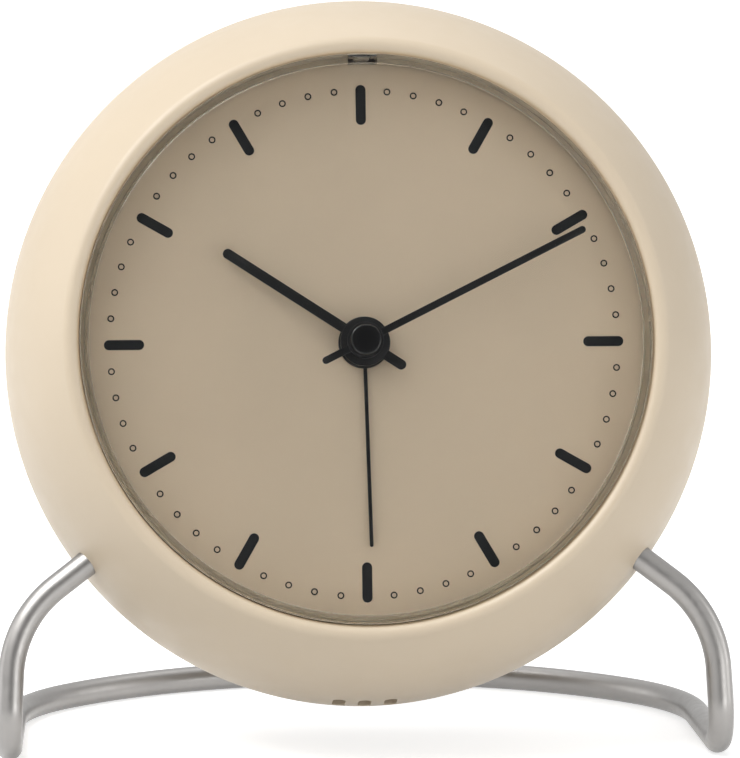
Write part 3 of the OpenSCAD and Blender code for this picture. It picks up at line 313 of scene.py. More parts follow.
def modify(piece, kind, **values):
    """Adds a modifier to a piece, sets its values and applies it."""
    activate(piece)
    bpy.ops.object.modifier_add(type=kind)
    change = piece.modifiers[-1]
    for name, value in values.items():
        setattr(change, name, value)
    bpy.ops.object.modifier_apply(modifier=change.name)


def carve(piece, cutter, operation="DIFFERENCE"):
    """Cuts a piece with another one, or adds it, and deletes the other."""
    modify(piece, "BOOLEAN", operation=operation, solver="EXACT", object=cutter)
    check_faces(piece)
    activate(cutter)
    bpy.ops.object.delete()
    activate(piece)


def soften(piece, width, segments=2):
    """Rounds a piece's sharp edges a little."""
    sharp = math.radians(40)
    modify(
        piece, "BEVEL", width=width, segments=segments, limit_method="ANGLE", angle_limit=sharp
    )


def smooth(piece, degrees):
    """Shades a piece smooth, except over edges sharper than an angle."""
    activate(piece)
    bpy.ops.object.shade_smooth_by_angle(angle=math.radians(degrees))


def head_place():
    """The dial's frame in the whole clock's frame."""
    sizes = bpy.context.scene.clock_sizes
    lift = Matrix.Translation((0, sizes.head_back, sizes.head_height))
    return lift @ Matrix.Rotation(math.pi / 2 - sizes.tilt, 4, "X")


def set_in_head(piece, place=None):
    """Moves a finished piece from the dial's frame to its place in the clock."""
    activate(piece)
    piece.matrix_world = head_place() @ (place or Matrix.Identity(4))
    bpy.ops.object.transform_apply(location=True, rotation=True, scale=True)


def finish_piece(piece, body, slot, *nodes):
    """Gives a piece the finish of a slot and its body, and hides the nodes that it stands for."""
    check_faces(piece)
    piece.data.materials.clear()
    piece.data.materials.append(finishes[slot])
    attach(piece, body)
    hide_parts(*nodes)


def complete(piece, degrees, body, slot, node, place=None):
    """Shades a piece of the head, moves it to its place and finishes it."""
    smooth(piece, degrees)
    set_in_head(piece, place)
    finish_piece(piece, body, slot, node)


# Finishes


def maths(tree, operation, first, second):
    """Result of an operation on two values, each a plain number or a node's output."""
    node = tree.nodes.new("ShaderNodeMath")
    node.operation = operation
    for socket, value in zip(node.inputs, (first, second)):
        if isinstance(value, bpy.types.NodeSocket):
            tree.links.new(value, socket)
        else:
            socket.default_value = value
    return node.outputs["Value"]


class Finish:
    """A new material, its shader and the patterns that feed it."""

    def __init__(self, name):
        self.material = bpy.data.materials.new(name)
        self.material.use_nodes = True
        self.tree = self.material.node_tree
        self.nodes, self.links = self.tree.nodes, self.tree.links
        self.shader = self.nodes["Principled BSDF"]
        self.place = self.nodes.new("ShaderNodeTexCoord")

    def set(self, **values):
        """Sets the shader's plain values, their names written in small letters."""
        for key, value in values.items():
            name = key.replace("_", " ").title().replace("Ior", "IOR")
            self.shader.inputs[name].default_value = value

    def mapped(self, stretch):
        """Object coordinates stretched along the axes."""
        mapping = self.nodes.new("ShaderNodeMapping")
        mapping.inputs["Scale"].default_value = stretch
        self.links.new(self.place.outputs["Object"], mapping.inputs["Vector"])
        return mapping.outputs["Vector"]

    def noise(self, scale, detail, rough=0.5, vector=None):
        """Cloudy pattern; scale counts clouds to the metre."""
        node = self.nodes.new("ShaderNodeTexNoise")
        node.inputs["Scale"].default_value = scale
        node.inputs["Detail"].default_value = detail
        node.inputs["Roughness"].default_value = rough
        self.links.new(vector or self.place.outputs["Object"], node.inputs["Vector"])
        return node.outputs["Fac"]

    def in_head(self):
        """Object coordinates turned into the dial's frame."""
        sizes = bpy.context.scene.clock_sizes
        mapping = self.nodes.new("ShaderNodeMapping")
        mapping.vector_type = "TEXTURE"
        mapping.inputs["Location"].default_value = (0, sizes.head_back, sizes.head_height)
        mapping.inputs["Rotation"].default_value = (math.pi / 2 - sizes.tilt, 0, 0)
        self.links.new(self.place.outputs["Object"], mapping.inputs["Vector"])
        return mapping.outputs["Vector"]

    def beyond(self, radius, soft):
        """One farther from the dial's axis than a radius, and zero nearer."""
        flat = self.nodes.new("ShaderNodeVectorMath")
        flat.operation = "MULTIPLY"
        flat.inputs[1].default_value = (1, 1, 0)
        self.links.new(self.in_head(), flat.inputs[0])
        away = self.nodes.new("ShaderNodeVectorMath")
        away.operation = "LENGTH"
        self.links.new(flat.outputs["Vector"], away.inputs[0])
        return self.span(away.outputs["Value"], 0, 1, radius - soft, radius)

    def deeper(self, height, soft):
        """One up to a height in the dial's frame, and zero in front of it."""
        split = self.nodes.new("ShaderNodeSeparateXYZ")
        self.links.new(self.in_head(), split.inputs[0])
        return self.span(split.outputs["Z"], 1, 0, height, height + soft)

    def span(self, value, low, high, start=0.3, end=0.7):
        """Maps a pattern's middle part to a range of numbers."""
        node = self.nodes.new("ShaderNodeMapRange")
        node.inputs["From Min"].default_value = start
        node.inputs["From Max"].default_value = end
        node.inputs["To Min"].default_value = low
        node.inputs["To Max"].default_value = high
        self.links.new(value, node.inputs["Value"])
        return node.outputs["Result"]

    def edges(self, radius):
        """One along a piece's sharp edges, and zero on its faces."""
        bevel = self.nodes.new("ShaderNodeBevel")
        bevel.samples = 4
        bevel.inputs["Radius"].default_value = radius
        shape = self.nodes.new("ShaderNodeNewGeometry")
        dot = self.nodes.new("ShaderNodeVectorMath")
        dot.operation = "DOT_PRODUCT"
        self.links.new(bevel.outputs["Normal"], dot.inputs[0])
        self.links.new(shape.outputs["Normal"], dot.inputs[1])
        return self.span(dot.outputs["Value"], 1, 0, 0.90, 0.995)

    def mix(self, factor, first, second):
        """Colour between two colours, each a plain value or a pattern's output."""
        node = self.nodes.new("ShaderNodeMix")
        node.data_type = "RGBA"
        self.links.new(factor, node.inputs["Factor"])
        for socket, value in (("A", first), ("B", second)):
            target = next(i for i in node.inputs if i.name == socket and i.type == "RGBA")
            if isinstance(value, bpy.types.NodeSocket):
                self.links.new(value, target)
            else:
                target.default_value = (*value[:3], 1)
        return next(o for o in node.outputs if o.type == "RGBA")

    def tint(self, base, shift, scale, worn=None, wear=0, edge=0.0004):
        """Base colour with soft clouds of a shade, and a worn shade along the edges."""
        darker = [c * (1 - shift) for c in base]
        paler = [min(1, c * (1 + shift)) for c in base]
        shade = self.mix(self.span(self.noise(scale, 3), 0, 1), darker, paler)
        if wear:
            broken = self.span(self.noise(900, 5), 0, wear, 0.4, 0.65)
            shade = self.mix(maths(self.tree, "MULTIPLY", self.edges(edge), broken), shade, worn)
        self.links.new(shade, self.shader.inputs["Base Color"])

    def roughness(self, low, high, scale, vector=None):
        """Roughness that wanders between two values."""
        result = self.span(self.noise(scale, 4, vector=vector), low, high)
        self.links.new(result, self.shader.inputs["Roughness"])

    def grain(self, scale, height, strength, detail=3, vector=None):
        """Fine relief; height in metres."""
        bump = self.nodes.new("ShaderNodeBump")
        bump.inputs["Distance"].default_value = height
        bump.inputs["Strength"].default_value = strength
        self.links.new(self.noise(scale, detail, 0.6, vector), bump.inputs["Height"])
        self.links.new(bump.outputs["Normal"], self.shader.inputs["Normal"])


def moulded(name, base, low, high, grain_height, wear=0.25, shift=0.02):
    """Moulded plastic with a fine spark-eroded texture."""
    finish = Finish(name)
    paler = [min(1, c * 1.15 + 0.02) for c in base]
    finish.tint(base, shift, 35, paler, wear)
    finish.roughness(low, high, 260)
    finish.grain(5200, grain_height, 0.6)
    return finish.material


def lacquer(name, base, low, high, metallic, grain_height, shift=0.02, coat=0.0, gloss=0.5):
    """Lacquered sheet metal."""
    finish = Finish(name)
    worn = [c + 0.12 for c in base]
    finish.tint(base, shift, 60, worn, 0.2, 0.0002)
    finish.roughness(low, high, 300)
    finish.grain(7000, grain_height, 0.5)
    finish.set(metallic=metallic, specular_ior_level=gloss, coat_weight=coat, coat_roughness=0.3)
    return finish.material


def bare_metal(name, base, low, high, stretch=(1, 1, 1)):
    """Bare metal with fine brushing along the stretched axis."""
    scale = 2600
    finish = Finish(name)
    along = finish.mapped(stretch)
    paler = [min(1, c * 1.25) for c in base]
    finish.tint(base, 0.05, 120, paler, 0.5, 0.0003)
    finish.roughness(low, high, scale / 3, along)
    finish.grain(scale, 2e-6, 0.7, 5, along)
    finish.set(metallic=1)
    return finish.material


def clear_plastic(wall):
    """Clear crystal with hardly seen wipe marks; its skirt's outer wall and foot are opaque and
    painted with light: a pale colour standing in for the lit wall seen through the skirt, made
    paler to offset the shade under the crystal.
    """
    finish = Finish("clear crystal")
    inputs, soft = finish.shader.inputs, 0.01 * MM
    outer = finish.beyond(bpy.context.scene.clock_sizes.bore_r - 0.07 * MM, soft)
    foot = finish.deeper(CRYSTAL_FOOT * MM + 2 * soft, soft)
    # Mask of the skirt's outer wall and foot, where transmission stops and the pale colour paints
    # the light of the wall seen through the skirt
    skirt = maths(finish.tree, "MAXIMUM", outer, foot)
    wiped = finish.span(finish.noise(50, 2), 0, 1)
    clear = finish.mix(wiped, (0.975, 0.985, 0.98), (0.99, 0.995, 0.99))
    finish.links.new(finish.mix(skirt, clear, wall), inputs["Base Color"])
    finish.links.new(finish.span(skirt, 1, 0, 0, 1), inputs["Transmission Weight"])
    finish.set(ior=1.49)
    finish.roughness(0, 0.012, 30)
    finish.grain(40, 2e-8, 0.2)
    return finish.material


def make_finishes():
    """Every finish of the clock, by the record's slot."""
    shades = bpy.context.scene.clock_colours
    return {
        "case_plastic": moulded("sand case", shades.case, 0.40, 0.50, 5e-6),
        # Painted light: this pale colour on the crystal's skirt stands in for the lit wall seen
        # through it, paler than the case to offset the shade under the crystal
        "clear_plastic": clear_plastic((0.92, 0.82, 0.66)),
        "gasket_rubber": moulded("brown gasket", shades.gasket, 0.6, 0.75, 8e-6, 0.1, 0.08),
        "dial_metal": lacquer("silky dial", shades.dial, 0.46, 0.56, 0.06, 3e-6),
        "black_ink": lacquer("black ink", shades.ink, 0.55, 0.7, 0.0, 2e-6, 0.1, gloss=0.2),
        "hand_metal": lacquer("black hands", shades.hands, 0.3, 0.4, 0.0, 1e-6, 0.1, gloss=0.2),
        "black_plastic": moulded("glossy black", (0.005, 0.005, 0.006), 0.03, 0.06, 2e-7, 0.1),
        "lamp_plastic": moulded("milky lens", (0.24, 0.23, 0.20), 0.2, 0.3, 1e-6, 0.1),
        "stand_steel": bare_metal("satin steel", shades.steel, 0.34, 0.42),
        "spring_steel": bare_metal("spring steel", (0.58, 0.58, 0.57), 0.2, 0.32, (1, 1, 6)),
        "white_plastic": moulded("white plastic", (0.78, 0.77, 0.73), 0.35, 0.5, 4e-6),
        "grey_plastic": moulded("grey plastic", (0.17, 0.17, 0.175), 0.4, 0.55, 6e-6),
        "board": lacquer("solder mask", (0.02, 0.13, 0.05), 0.25, 0.4, 0.0, 3e-6, 0.1, 0.4),
        "copper_wire": bare_metal("enamelled copper", (0.60, 0.22, 0.10), 0.25, 0.35, (8, 1, 1)),
        "stator_iron": bare_metal("stamped iron", (0.36, 0.36, 0.37), 0.35, 0.5, (1, 6, 1)),
        "magnet": bare_metal("sintered magnet", (0.09, 0.09, 0.1), 0.45, 0.6),
        "contact_brass": bare_metal("contact brass", (0.72, 0.52, 0.22), 0.25, 0.38, (6, 1, 1)),
        "battery_sleeve": lacquer(
            "battery sleeve", (0.025, 0.028, 0.035), 0.2, 0.3, 0.3, 1e-6, 0.1, 0.5
        ),
    }


finishes = {}


# Operators, one for each piece or group of like pieces


class CLOCK_OT_finishes(bpy.types.Operator):
    """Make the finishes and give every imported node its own"""

    bl_idname = "clock.finishes"
    bl_label = "Finishes"

    def execute(self, context):
        finishes.update(make_finishes())
        for part in frame["record"]["subparts"]:
            node = frame["nodes"][part["node"]]
            node.data.materials.clear()
            node.data.materials.append(finishes[part["material_slot"]])
        return {"FINISHED"}


def side_height(r, arc_r, centre_r):
    """Height on the side's arc at a radius."""
    return math.sqrt(arc_r**2 - (r - centre_r) ** 2)


def side_reach(z, arc_r, centre_r):
    """Radius on the side's arc at a height."""
    return centre_r + math.sqrt(arc_r**2 - z**2)


def side_at_seam(s):
    """Middle of the side's arc, its radius inside, and the seam's radius and two angles on it."""
    middle, inner = s.case_r - s.side_r, s.side_r - s.wall
    seam_r = side_reach(-s.seam, s.side_r, middle)
    outside = math.degrees(math.atan2(s.seam, seam_r - middle))
    return middle, inner, seam_r, outside, math.degrees(math.asin(s.seam / inner))


def wire_hole(name, r, side):
    """Bar along a leg's end, out through the case's wall."""
    s = bpy.context.scene.clock_sizes
    swing = -s.leg_angle if side > 0 else math.pi + s.leg_angle
    clear_selection()
    bpy.ops.mesh.primitive_cylinder_add(vertices=64, radius=r, depth=30 * MM)
    piece = bpy.context.object
    piece.name = name
    place = Matrix.Translation((0, 0, s.leg_plane)) @ Matrix.Rotation(swing, 4, "Z")
    piece.matrix_world = place @ Matrix.Translation((52 * MM, 0, 0)) @ ALONG_X
    bpy.ops.object.transform_apply(location=True, rotation=True)
    return piece


class CLOCK_OT_case_shell(bpy.types.Operator):
    """Turn the front shell with its rolled lip, and cut its openings"""

    bl_idname = "clock.case_shell"
    bl_label = "Case shell"

    def execute(self, context):
        s = context.scene.clock_sizes
        middle, inner, seam_r, seam_angle, inner_seam = side_at_seam(s)
        lip_r = s.bore_r + s.roll_r
        lip_z = side_height(lip_r, s.side_r - s.roll_r, middle)
        lip_angle = math.degrees(math.atan2(lip_z, lip_r - middle))
        reveal_r = s.bore_r + s.reveal_wall
        reveal_z = side_height(reveal_r, inner, middle)
        inner_top = math.degrees(math.atan2(reveal_z, reveal_r - middle))
        edge = CHAMFER - s.seam
        piece = start_outline("case_shell", seam_r - CHAMFER, -s.seam)
        run_to(piece, side_reach(edge, s.side_r, middle), edge)
        bend_round(middle, 0, seam_angle + lip_angle - CHAMFER_ANGLE, 56)
        bend_round(lip_r, lip_z, 180 - lip_angle, 20)
        ledge = s.dial_front - 0.8 * MM
        run_to(piece, s.bore_r, ledge)
        run_to(piece, reveal_r, ledge)
        run_to(piece, reveal_r, reveal_z)
        bend_round(middle, 0, -(inner_top + inner_seam), 24)
        close_outline()
        turn(s.turn_steps)
        cutters = [wire_hole("hole", s.wire_r + 0.05 * MM, side) for side in (-1, 1)]
        for x in (-4, 0, 4):
            slot = block("slot", (x - 1, x + 1), (-58, -46), (0.3, 5.7))
            edit()
            select_where(slot, "edges", lambda e: abs((e.verts[0].co - e.verts[1].co).y) > MM)
            bpy.ops.mesh.bevel(offset=0.98 * MM, segments=6, affect="EDGES")
            rest()
            cutters.append(slot)
        cutters.append(block("notch", (-2.25, 2.25), (43, 46.1), (15.5, 21.3)))
        carve(piece, join(cutters, "openings"))
        complete(piece, 28, "root", "case_plastic", "case_ring")
        return {"FINISHED"}


class CLOCK_OT_back_shell(bpy.types.Operator):
    """Turn the rear shell and cut the openings of its flat back"""

    bl_idname = "clock.back_shell"
    bl_label = "Back shell"

    def execute(self, context):
        s = context.scene.clock_sizes
        middle, inner, seam_r, seam_angle, inner_seam = side_at_seam(s)
        edge_z = s.back_edge_r - s.back
        edge_r = side_reach(edge_z, s.side_r - s.back_edge_r, middle)
        edge_angle = math.degrees(math.atan2(-edge_z, edge_r - middle))
        plate = s.back_wall - s.back
        edge = -s.seam - CHAMFER
        piece = start_outline("back_shell", seam_r - CHAMFER, -s.seam)
        run_to(piece, side_reach(edge, s.side_r, middle), edge)
        bend_round(middle, 0, seam_angle - edge_angle + CHAMFER_ANGLE, 20)
        bend_round(edge_r, edge_z, edge_angle - 90, 16)
        run_to(piece, edge_r, -s.back)
        run_to(piece, 0, -s.back)
        run_to(piece, 0, plate)
        run_to(piece, side_reach(plate, inner, middle), plate)
        plate_angle = math.degrees(math.asin(-plate / inner))
        bend_round(middle, 0, plate_angle - inner_seam, 12)
        close_outline()
        turn(s.turn_steps)
        added = [block("bay", (-29.55, 29.55), (-29, -11), (-24.9, -7.8))]
        for at in (TIME_KNOB, ALARM_KNOB):
            added.append(rod("well", 7.9, -24.9, -21.4, at))
        for part in added:
            carve(piece, part, "UNION")
        cuts = [
            block("door", (-29.75, 29.75), (-29.2, -10.8), (-27, -24.35)),
            block("room", (-28.15, 28.15), (-27.6, -12.4), (-25, -9.2)),
            block("switch", (-4.4, 4.4), (18.3, 21.7), (-27, -23)),
            block("button", (-9.2, 9.2), (29.3, 35.7), (-27, -23)),
        ]
        for at in (TIME_KNOB, ALARM_KNOB):
            cuts.append(rod("well", 6.5, -27, -23, at, 96))
            cuts.append(rod("stem", 1.05, -24, -20, at))
        screw_ring = 40
        for turned in (50, 130, 240, 300):
            way = math.radians(turned)
            at = (screw_ring * math.cos(way), screw_ring * math.sin(way))
            cuts.append(rod("screw", 2.2, -27, -16.4, at))
        for lug in (-28.15, 28.15):
            cuts.append(block("lug", (lug - 0.75, lug + 0.75), (-23.25, -16.75), (-26, -21.15)))
        for cut in cuts:
            carve(piece, cut)
        complete(piece, 28, "root", "case_plastic", "rear_cover")
        return {"FINISHED"}


class CLOCK_OT_crystal(bpy.types.Operator):
    """Turn the clear crystal with its tapered skirt"""

    bl_idname = "clock.crystal"
    bl_label = "Crystal"

    def execute(self, context):
        s = context.scene.clock_sizes
        r = s.bore_r - 0.05 * MM
        top, under, foot = CRYSTAL_TOP * MM, CRYSTAL_UNDER * MM, CRYSTAL_FOOT * MM
        piece = start_outline("clear_crystal", 0, under)
        # The skirt grows thinner from the inner face, which it meets in a small round, to its foot
        for thick, sunk in ((1.6, 0), (1.5, 0), (1.36, 0.06), (1.28, 0.2)):
            run_to(piece, r - thick * MM, under - sunk * MM)
        run_to(piece, r - 0.7 * MM, foot)
        run_to(piece, r, foot)
        run_to(piece, r, top - CHAMFER)
        run_to(piece, r - CHAMFER, top)
        run_to(piece, r - 0.2 * MM, top)
        run_to(piece, 0, top)
        turn(s.turn_steps)
        carve(piece, block("notch", (-2.25, 2.25), (42, 45), (15, 21.3)))
        complete(piece, 30, "root", "clear_plastic", "crystal")
        return {"FINISHED"}


class CLOCK_OT_gasket(bpy.types.Operator):
    """Turn the gasket under the crystal's skirt"""

    bl_idname = "clock.gasket"
    bl_label = "Gasket"

    def execute(self, context):
        s = context.scene.clock_sizes
        out, inside = s.bore_r - 0.06 * MM, s.bore_r - 0.7 * MM
        low, high = s.dial_front, s.dial_front + 0.46 * MM
        piece = start_outline("gasket_ring", inside + CHAMFER, low)
        run_to(piece, out, low)
        run_to(piece, out, high)
        run_to(piece, inside + CHAMFER, high)
        run_to(piece, inside, high - CHAMFER)
        run_to(piece, inside, low + CHAMFER)
        close_outline()
        turn(s.turn_steps)
        complete(piece, 50, "root", "gasket_rubber", "crystal_gasket")
        return {"FINISHED"}


def hand(name, reach, tail, width, boss_r, bore_r, base):
    """Hand with round ends on a round boss, its edges softened, in millimetres."""
    thick, half = 0.9, 0.175
    mid = base + thick / 2
    blade = block("blade", (-tail, reach), (-width / 2, width / 2), (mid - half, mid + half))
    edit()
    select_where(blade, "edges", lambda e: abs((e.verts[0].co - e.verts[1].co).z) > half * MM)
    bpy.ops.mesh.bevel(offset=width * 0.49 * MM, segments=8, affect="EDGES")
    rest()
    soften(blade, 0.07 * MM)
    boss = rod("boss", boss_r, base, base + thick, sides=96)
    soften(boss, CHAMFER, 3)
    carve(boss, blade, "UNION")
    carve(boss, rod("bore", bore_r, base - 1, base + 2, sides=48))
    boss.name = name
    return boss


class CLOCK_OT_hands(bpy.types.Operator):
    """Make the alarm, hour and minute hands"""

    bl_idname = "clock.hands"
    bl_label = "Hands"

    def execute(self, context):
        table = (
            ("alarm_blade", 31.6, 0, 0.57, 4, 1.8, 15.45, 178.7, "alarm", "alarm_hand"),
            ("hour_blade", 25.8, 7.4, 1.57, 3.8, 1.25, 17.25, 303.2, "hour", "hour_hand"),
            ("minute_blade", 38.2, 7.4, 1.12, 2.8, 0.75, 19.05, 63.4, "minute", "minute_hand"),
        )
        for *sizes, points_to, body, node in table:
            place = Matrix.Rotation(math.radians(90 - points_to), 4, "Z")
            complete(hand(*sizes), 35, body, "hand_metal", node, place)
        return {"FINISHED"}


class CLOCK_OT_cap(bpy.types.Operator):
    """Turn the glossy cap on the hub"""

    bl_idname = "clock.cap"
    bl_label = "Hub cap"

    def execute(self, context):
        r, low, high = 2.4 * MM, 19.95 * MM, 21.25 * MM
        edge, pin_r, pin_high = 0.3 * MM, 0.75 * MM, low + 0.65 * MM
        piece = start_outline("glossy_cap", 0, high)
        run_to(piece, r - edge, high)
        bend_round(r - edge, high - edge, -90, 8)
        run_to(piece, r, low)
        run_to(piece, pin_r, low)
        run_to(piece, pin_r, pin_high)
        run_to(piece, 0, pin_high)
        turn(96)
        complete(piece, 30, "minute", "black_plastic", "hub_cap")
        return {"FINISHED"}


class CLOCK_OT_lamp(bpy.types.Operator):
    """Make the lamp's dark holder and its milky lens"""

    bl_idname = "clock.lamp"
    bl_label = "Lamp"

    def execute(self, context):
        near, inside = LAMP_NEAR, (LAMP_LOW + 0.1, LAMP_HIGH - 0.1)
        holder = block("lamp_frame", (-2.15, 2.15), (near, near + 2.3), (LAMP_LOW, LAMP_HIGH), 0.15)
        carve(holder, block("recess", (-1.3, 1.3), (near - 1, near + 1.3), inside))
        complete(holder, 40, "root", "black_plastic", "lamp_holder")
        lens = block("lamp_window", (-1.25, 1.25), (near - 0.1, near + 1.3), inside, 0.2, 4)
        complete(lens, 40, "root", "lamp_plastic", "lamp_lens")
        return {"FINISHED"}


def corner(before, at, after, r):
    """Where a bend of radius r starts at a corner, its centre, axis and angle."""
    back, on = (before - at).normalized(), (after - at).normalized()
    opening = back.angle(on)
    centre = at + (back + on).normalized() * (r / math.sin(opening / 2))
    start = at + back * (r / math.tan(opening / 2))
    return start, centre, (-back).cross(on).normalized(), math.pi - opening


class CLOCK_OT_stand(bpy.types.Operator):
    """Bend the stand from one wire: legs, feet, sides and rear rail"""

    bl_idname = "clock.stand"
    bl_label = "Wire stand"

    def execute(self, context):
        s = context.scene.clock_sizes
        plane = s.leg_plane
        head = head_place()
        end, knee = [
            head @ Vector((r * MM * math.cos(-s.leg_angle), r * MM * math.sin(-s.leg_angle), plane))
            for r in (42, 68.6)
        ]
        foot_up = (s.wire_r - s.head_height - plane * math.sin(s.tilt)) / math.cos(s.tilt)
        foot = head @ Vector((55.3 * MM, foot_up, plane))
        # The sides close up towards the rear, where their bends run into the rail's wide arc
        close = math.radians(2.7)
        along = Vector((-math.sin(close), math.cos(close), 0))
        inward = Vector((-math.cos(close), -math.sin(close), 0))
        side_r, rail_r, depth = 32 * MM, 62 * MM, 70.5 * MM
        rail = Vector((0, foot.y + depth - rail_r, s.wire_r))
        out = foot + inward * side_r - rail
        half = out.dot(along)
        run = math.sqrt(half**2 - out.dot(out) + (rail_r - side_r) ** 2) - half
        side = foot + along * run + inward * side_r
        side_end = side - inward * side_r
        aim = math.atan2(side.y - rail.y, side.x)
        clear_selection()
        bpy.ops.mesh.primitive_circle_add(vertices=40, radius=s.wire_r, fill_type="NOTHING")
        piece = context.object
        piece.name = "bent_wire"
        piece.matrix_world = (
            Matrix.Translation(end) @ (knee - end).to_track_quat("Z", "X").to_matrix().to_4x4()
        )
        bpy.ops.object.transform_apply(location=True, rotation=True)
        edit("EDGE")
        here = end
        for points, bend_r, steps in (
            ((end, knee, foot), 18.2 * MM, 28),
            ((knee, foot, side_end), 6.2 * MM, 24),
        ):
            start, centre, axis, swing = corner(*points, bend_r)
            push(start - here)
            spin(steps, swing, centre, axis)
            here = centre + Matrix.Rotation(swing, 3, axis) @ (start - centre)
        push(side_end - here)
        up = (0, 0, 1)
        spin(24, aim - close, side, up)
        spin(40, math.pi / 2 - aim, rail, up)
        select_where(piece, "verts", lambda v: (v.co - end).length < 1.05 * s.wire_r)
        bpy.ops.mesh.edge_face_add()
        bpy.ops.mesh.inset(thickness=0.4 * MM, depth=0.2 * MM)
        rest()
        modify(piece, "MIRROR", use_axis=(True, False, False), merge_threshold=0.01 * MM)
        edit()
        mend()
        smooth(piece, 40)
        finish_piece(piece, "root", "stand_steel", "wire_stand")
        return {"FINISHED"}


class CLOCK_OT_knobs(bpy.types.Operator):
    """Make the two fluted setting knobs"""

    bl_idname = "clock.knobs"
    bl_label = "Setting knobs"

    def execute(self, context):
        table = (
            ("time_knob_turned", TIME_KNOB, "time_setter", "time_knob"),
            ("alarm_knob_turned", ALARM_KNOB, "alarm_setter", "alarm_knob"),
        )
        r, low, high, edge = 5.5 * MM, -27.9 * MM, -23.3 * MM, 0.3 * MM
        flutes, flute_depth = 28, 0.945
        for name, (x, y), body, node in table:
            clear_selection()
            bpy.ops.mesh.primitive_circle_add(
                vertices=4 * flutes, radius=r, fill_type="NGON", location=(0, 0, low + edge)
            )
            piece = context.object
            piece.name = name
            bpy.ops.object.transform_apply(location=True)
            edit("VERT")

            def in_groove(v):
                return round(math.atan2(v.co.y, v.co.x) / math.tau * 4 * flutes) % 4 == 2

            def is_front(f):
                return len(f.verts) > 9 and f.calc_center_median().z < low + 1.03 * edge

            select_where(piece, "verts", in_groove)
            narrow = (flute_depth, flute_depth, 1)
            bpy.ops.transform.resize(value=narrow, center_override=(0, 0, 0))
            bpy.ops.mesh.select_mode(type="FACE")
            bpy.ops.mesh.select_all(action="SELECT")
            push((0, 0, high - low - edge))
            select_where(piece, "faces", is_front)
            bpy.ops.mesh.inset(thickness=edge, depth=0.0)
            bpy.ops.transform.translate(value=(0, 0, -edge))
            bpy.ops.mesh.inset(thickness=2.2 * MM, depth=0.0)
            bpy.ops.mesh.inset(thickness=0.25 * MM, depth=0.0)
            bpy.ops.transform.translate(value=(0, 0, 0.45 * MM))
            mend()
            carve(piece, rod("socket", 1, -25.6, -22))
            place = Matrix.Translation((x * MM, y * MM, 0))
            complete(piece, 35, body, "case_plastic", node, place)
        return {"FINISHED"}


class CLOCK_OT_controls(bpy.types.Operator):
    """Make the snooze button, the alarm slider and the battery door"""

    bl_idname = "clock.controls"
    bl_label = "Controls"

    def execute(self, context):
        outside, inside, flange = -27.4, -23.6, -22.6
        button = join(
            [
                block("cap", (-9, 9), (29.5, 35.5), (outside, inside), 0.45, 4),
                block("flange", (-10, 10), (29, 36), (inside, flange), 0.1),
                rod("post", 1.2, -22.7, -21.6, (0, 32.5)),
            ],
            "long_button",
        )
        complete(button, 40, "snooze", "case_plastic", "snooze_button")
        x, top = -2, -27.2
        parts = [
            block("thumb", (x - 2.2, x + 2.2), (18.5, 21.5), (top, inside), 0.2),
            block("foot", (x - 3, x + 3), (17.7, 22.3), (inside, flange), 0.1),
        ]
        for rib in (x - 1.1, x, x + 1.1):
            parts.append(
                block("rib", (rib - 0.25, rib + 0.25), (18.6, 21.4), (top - 0.3, top + 0.1), 0.12)
            )
        slider = join(parts, "ribbed_slider")
        complete(slider, 40, "alarm_switch", "black_plastic", "alarm_switch_slider")
        door = block("lid", (-29.5, 29.5), (-28.95, -11.05), (-26, -24.4), 0.25)
        carve(door, rod("pull", 4, -27, -25.4, (26.3, -20), 96))
        lugs = [
            block("lug", (lug - 0.5, lug + 0.5), (-23, -17), (-24.5, -21.4), 0.15)
            for lug in (-28.15, 28.15)
        ]
        lid = join([door, *lugs], "battery_lid")
        complete(lid, 40, "door", "case_plastic", "battery_door")
        return {"FINISHED"}


class CLOCK_OT_battery(bpy.types.Operator):
    """Turn the battery and wind its coil spring"""

    bl_idname = "clock.battery"
    bl_label = "Battery and spring"

    def execute(self, context):
        low, high = -22.55, 26.65
        outline = (
            (4.6, low),
            (4.9, low + 0.25),
            (6.2, low + 0.25),
            (6.5, low),
            (6.9, low),
            (7.1, low + 0.2),
            (7.1, high - 0.5),
            (6.8, high - 0.1),
            (6.3, high),
            (6.0, high - 0.35),
            (2.9, high - 0.35),
            (2.65, high - 0.1),
            (2.65, high + 0.85),
            (2.4, high + 1.1),
            (0, high + 1.1),
        )
        piece = start_outline("turned_battery", 0, low * MM)
        for r, z in outline:
            run_to(piece, r * MM, z * MM)
        turn(96)
        place = Matrix.Translation((0, BATTERY_Y * MM, BATTERY_Z * MM)) @ ALONG_X
        complete(piece, 35, "root", "battery_sleeve", "battery", place)
        clear_selection()
        bpy.ops.mesh.primitive_circle_add(vertices=10, radius=0.3 * MM, fill_type="NOTHING")
        coil = context.object
        coil.name = "wound_spring"
        turns, height, wide, narrow, sides = 4, 5 * MM, 4.2 * MM, 2.4 * MM, 32
        coil.matrix_world = Matrix.Translation((wide, 0, 0)) @ Matrix.Rotation(math.pi / 2, 4, "X")
        bpy.ops.object.transform_apply(location=True, rotation=True)
        edit("EDGE")
        steps = turns * sides
        inward = (narrow - wide) / steps
        for i in range(steps):
            spin(1, math.tau / sides, (0, 0, 0), (0, 0, 1))
            way = math.tau * (i + 1) / sides
            step = (inward * math.cos(way), inward * math.sin(way), height / steps)
            bpy.ops.transform.translate(value=step)
        select_where(coil, "edges", lambda e: len(e.link_faces) == 1)
        bpy.ops.mesh.edge_face_add()
        mend()
        place = Matrix.Translation((-27.85 * MM, BATTERY_Y * MM, BATTERY_Z * MM)) @ ALONG_X
        complete(coil, 60, "root", "spring_steel", "minus_spring", place)
        return {"FINISHED"}


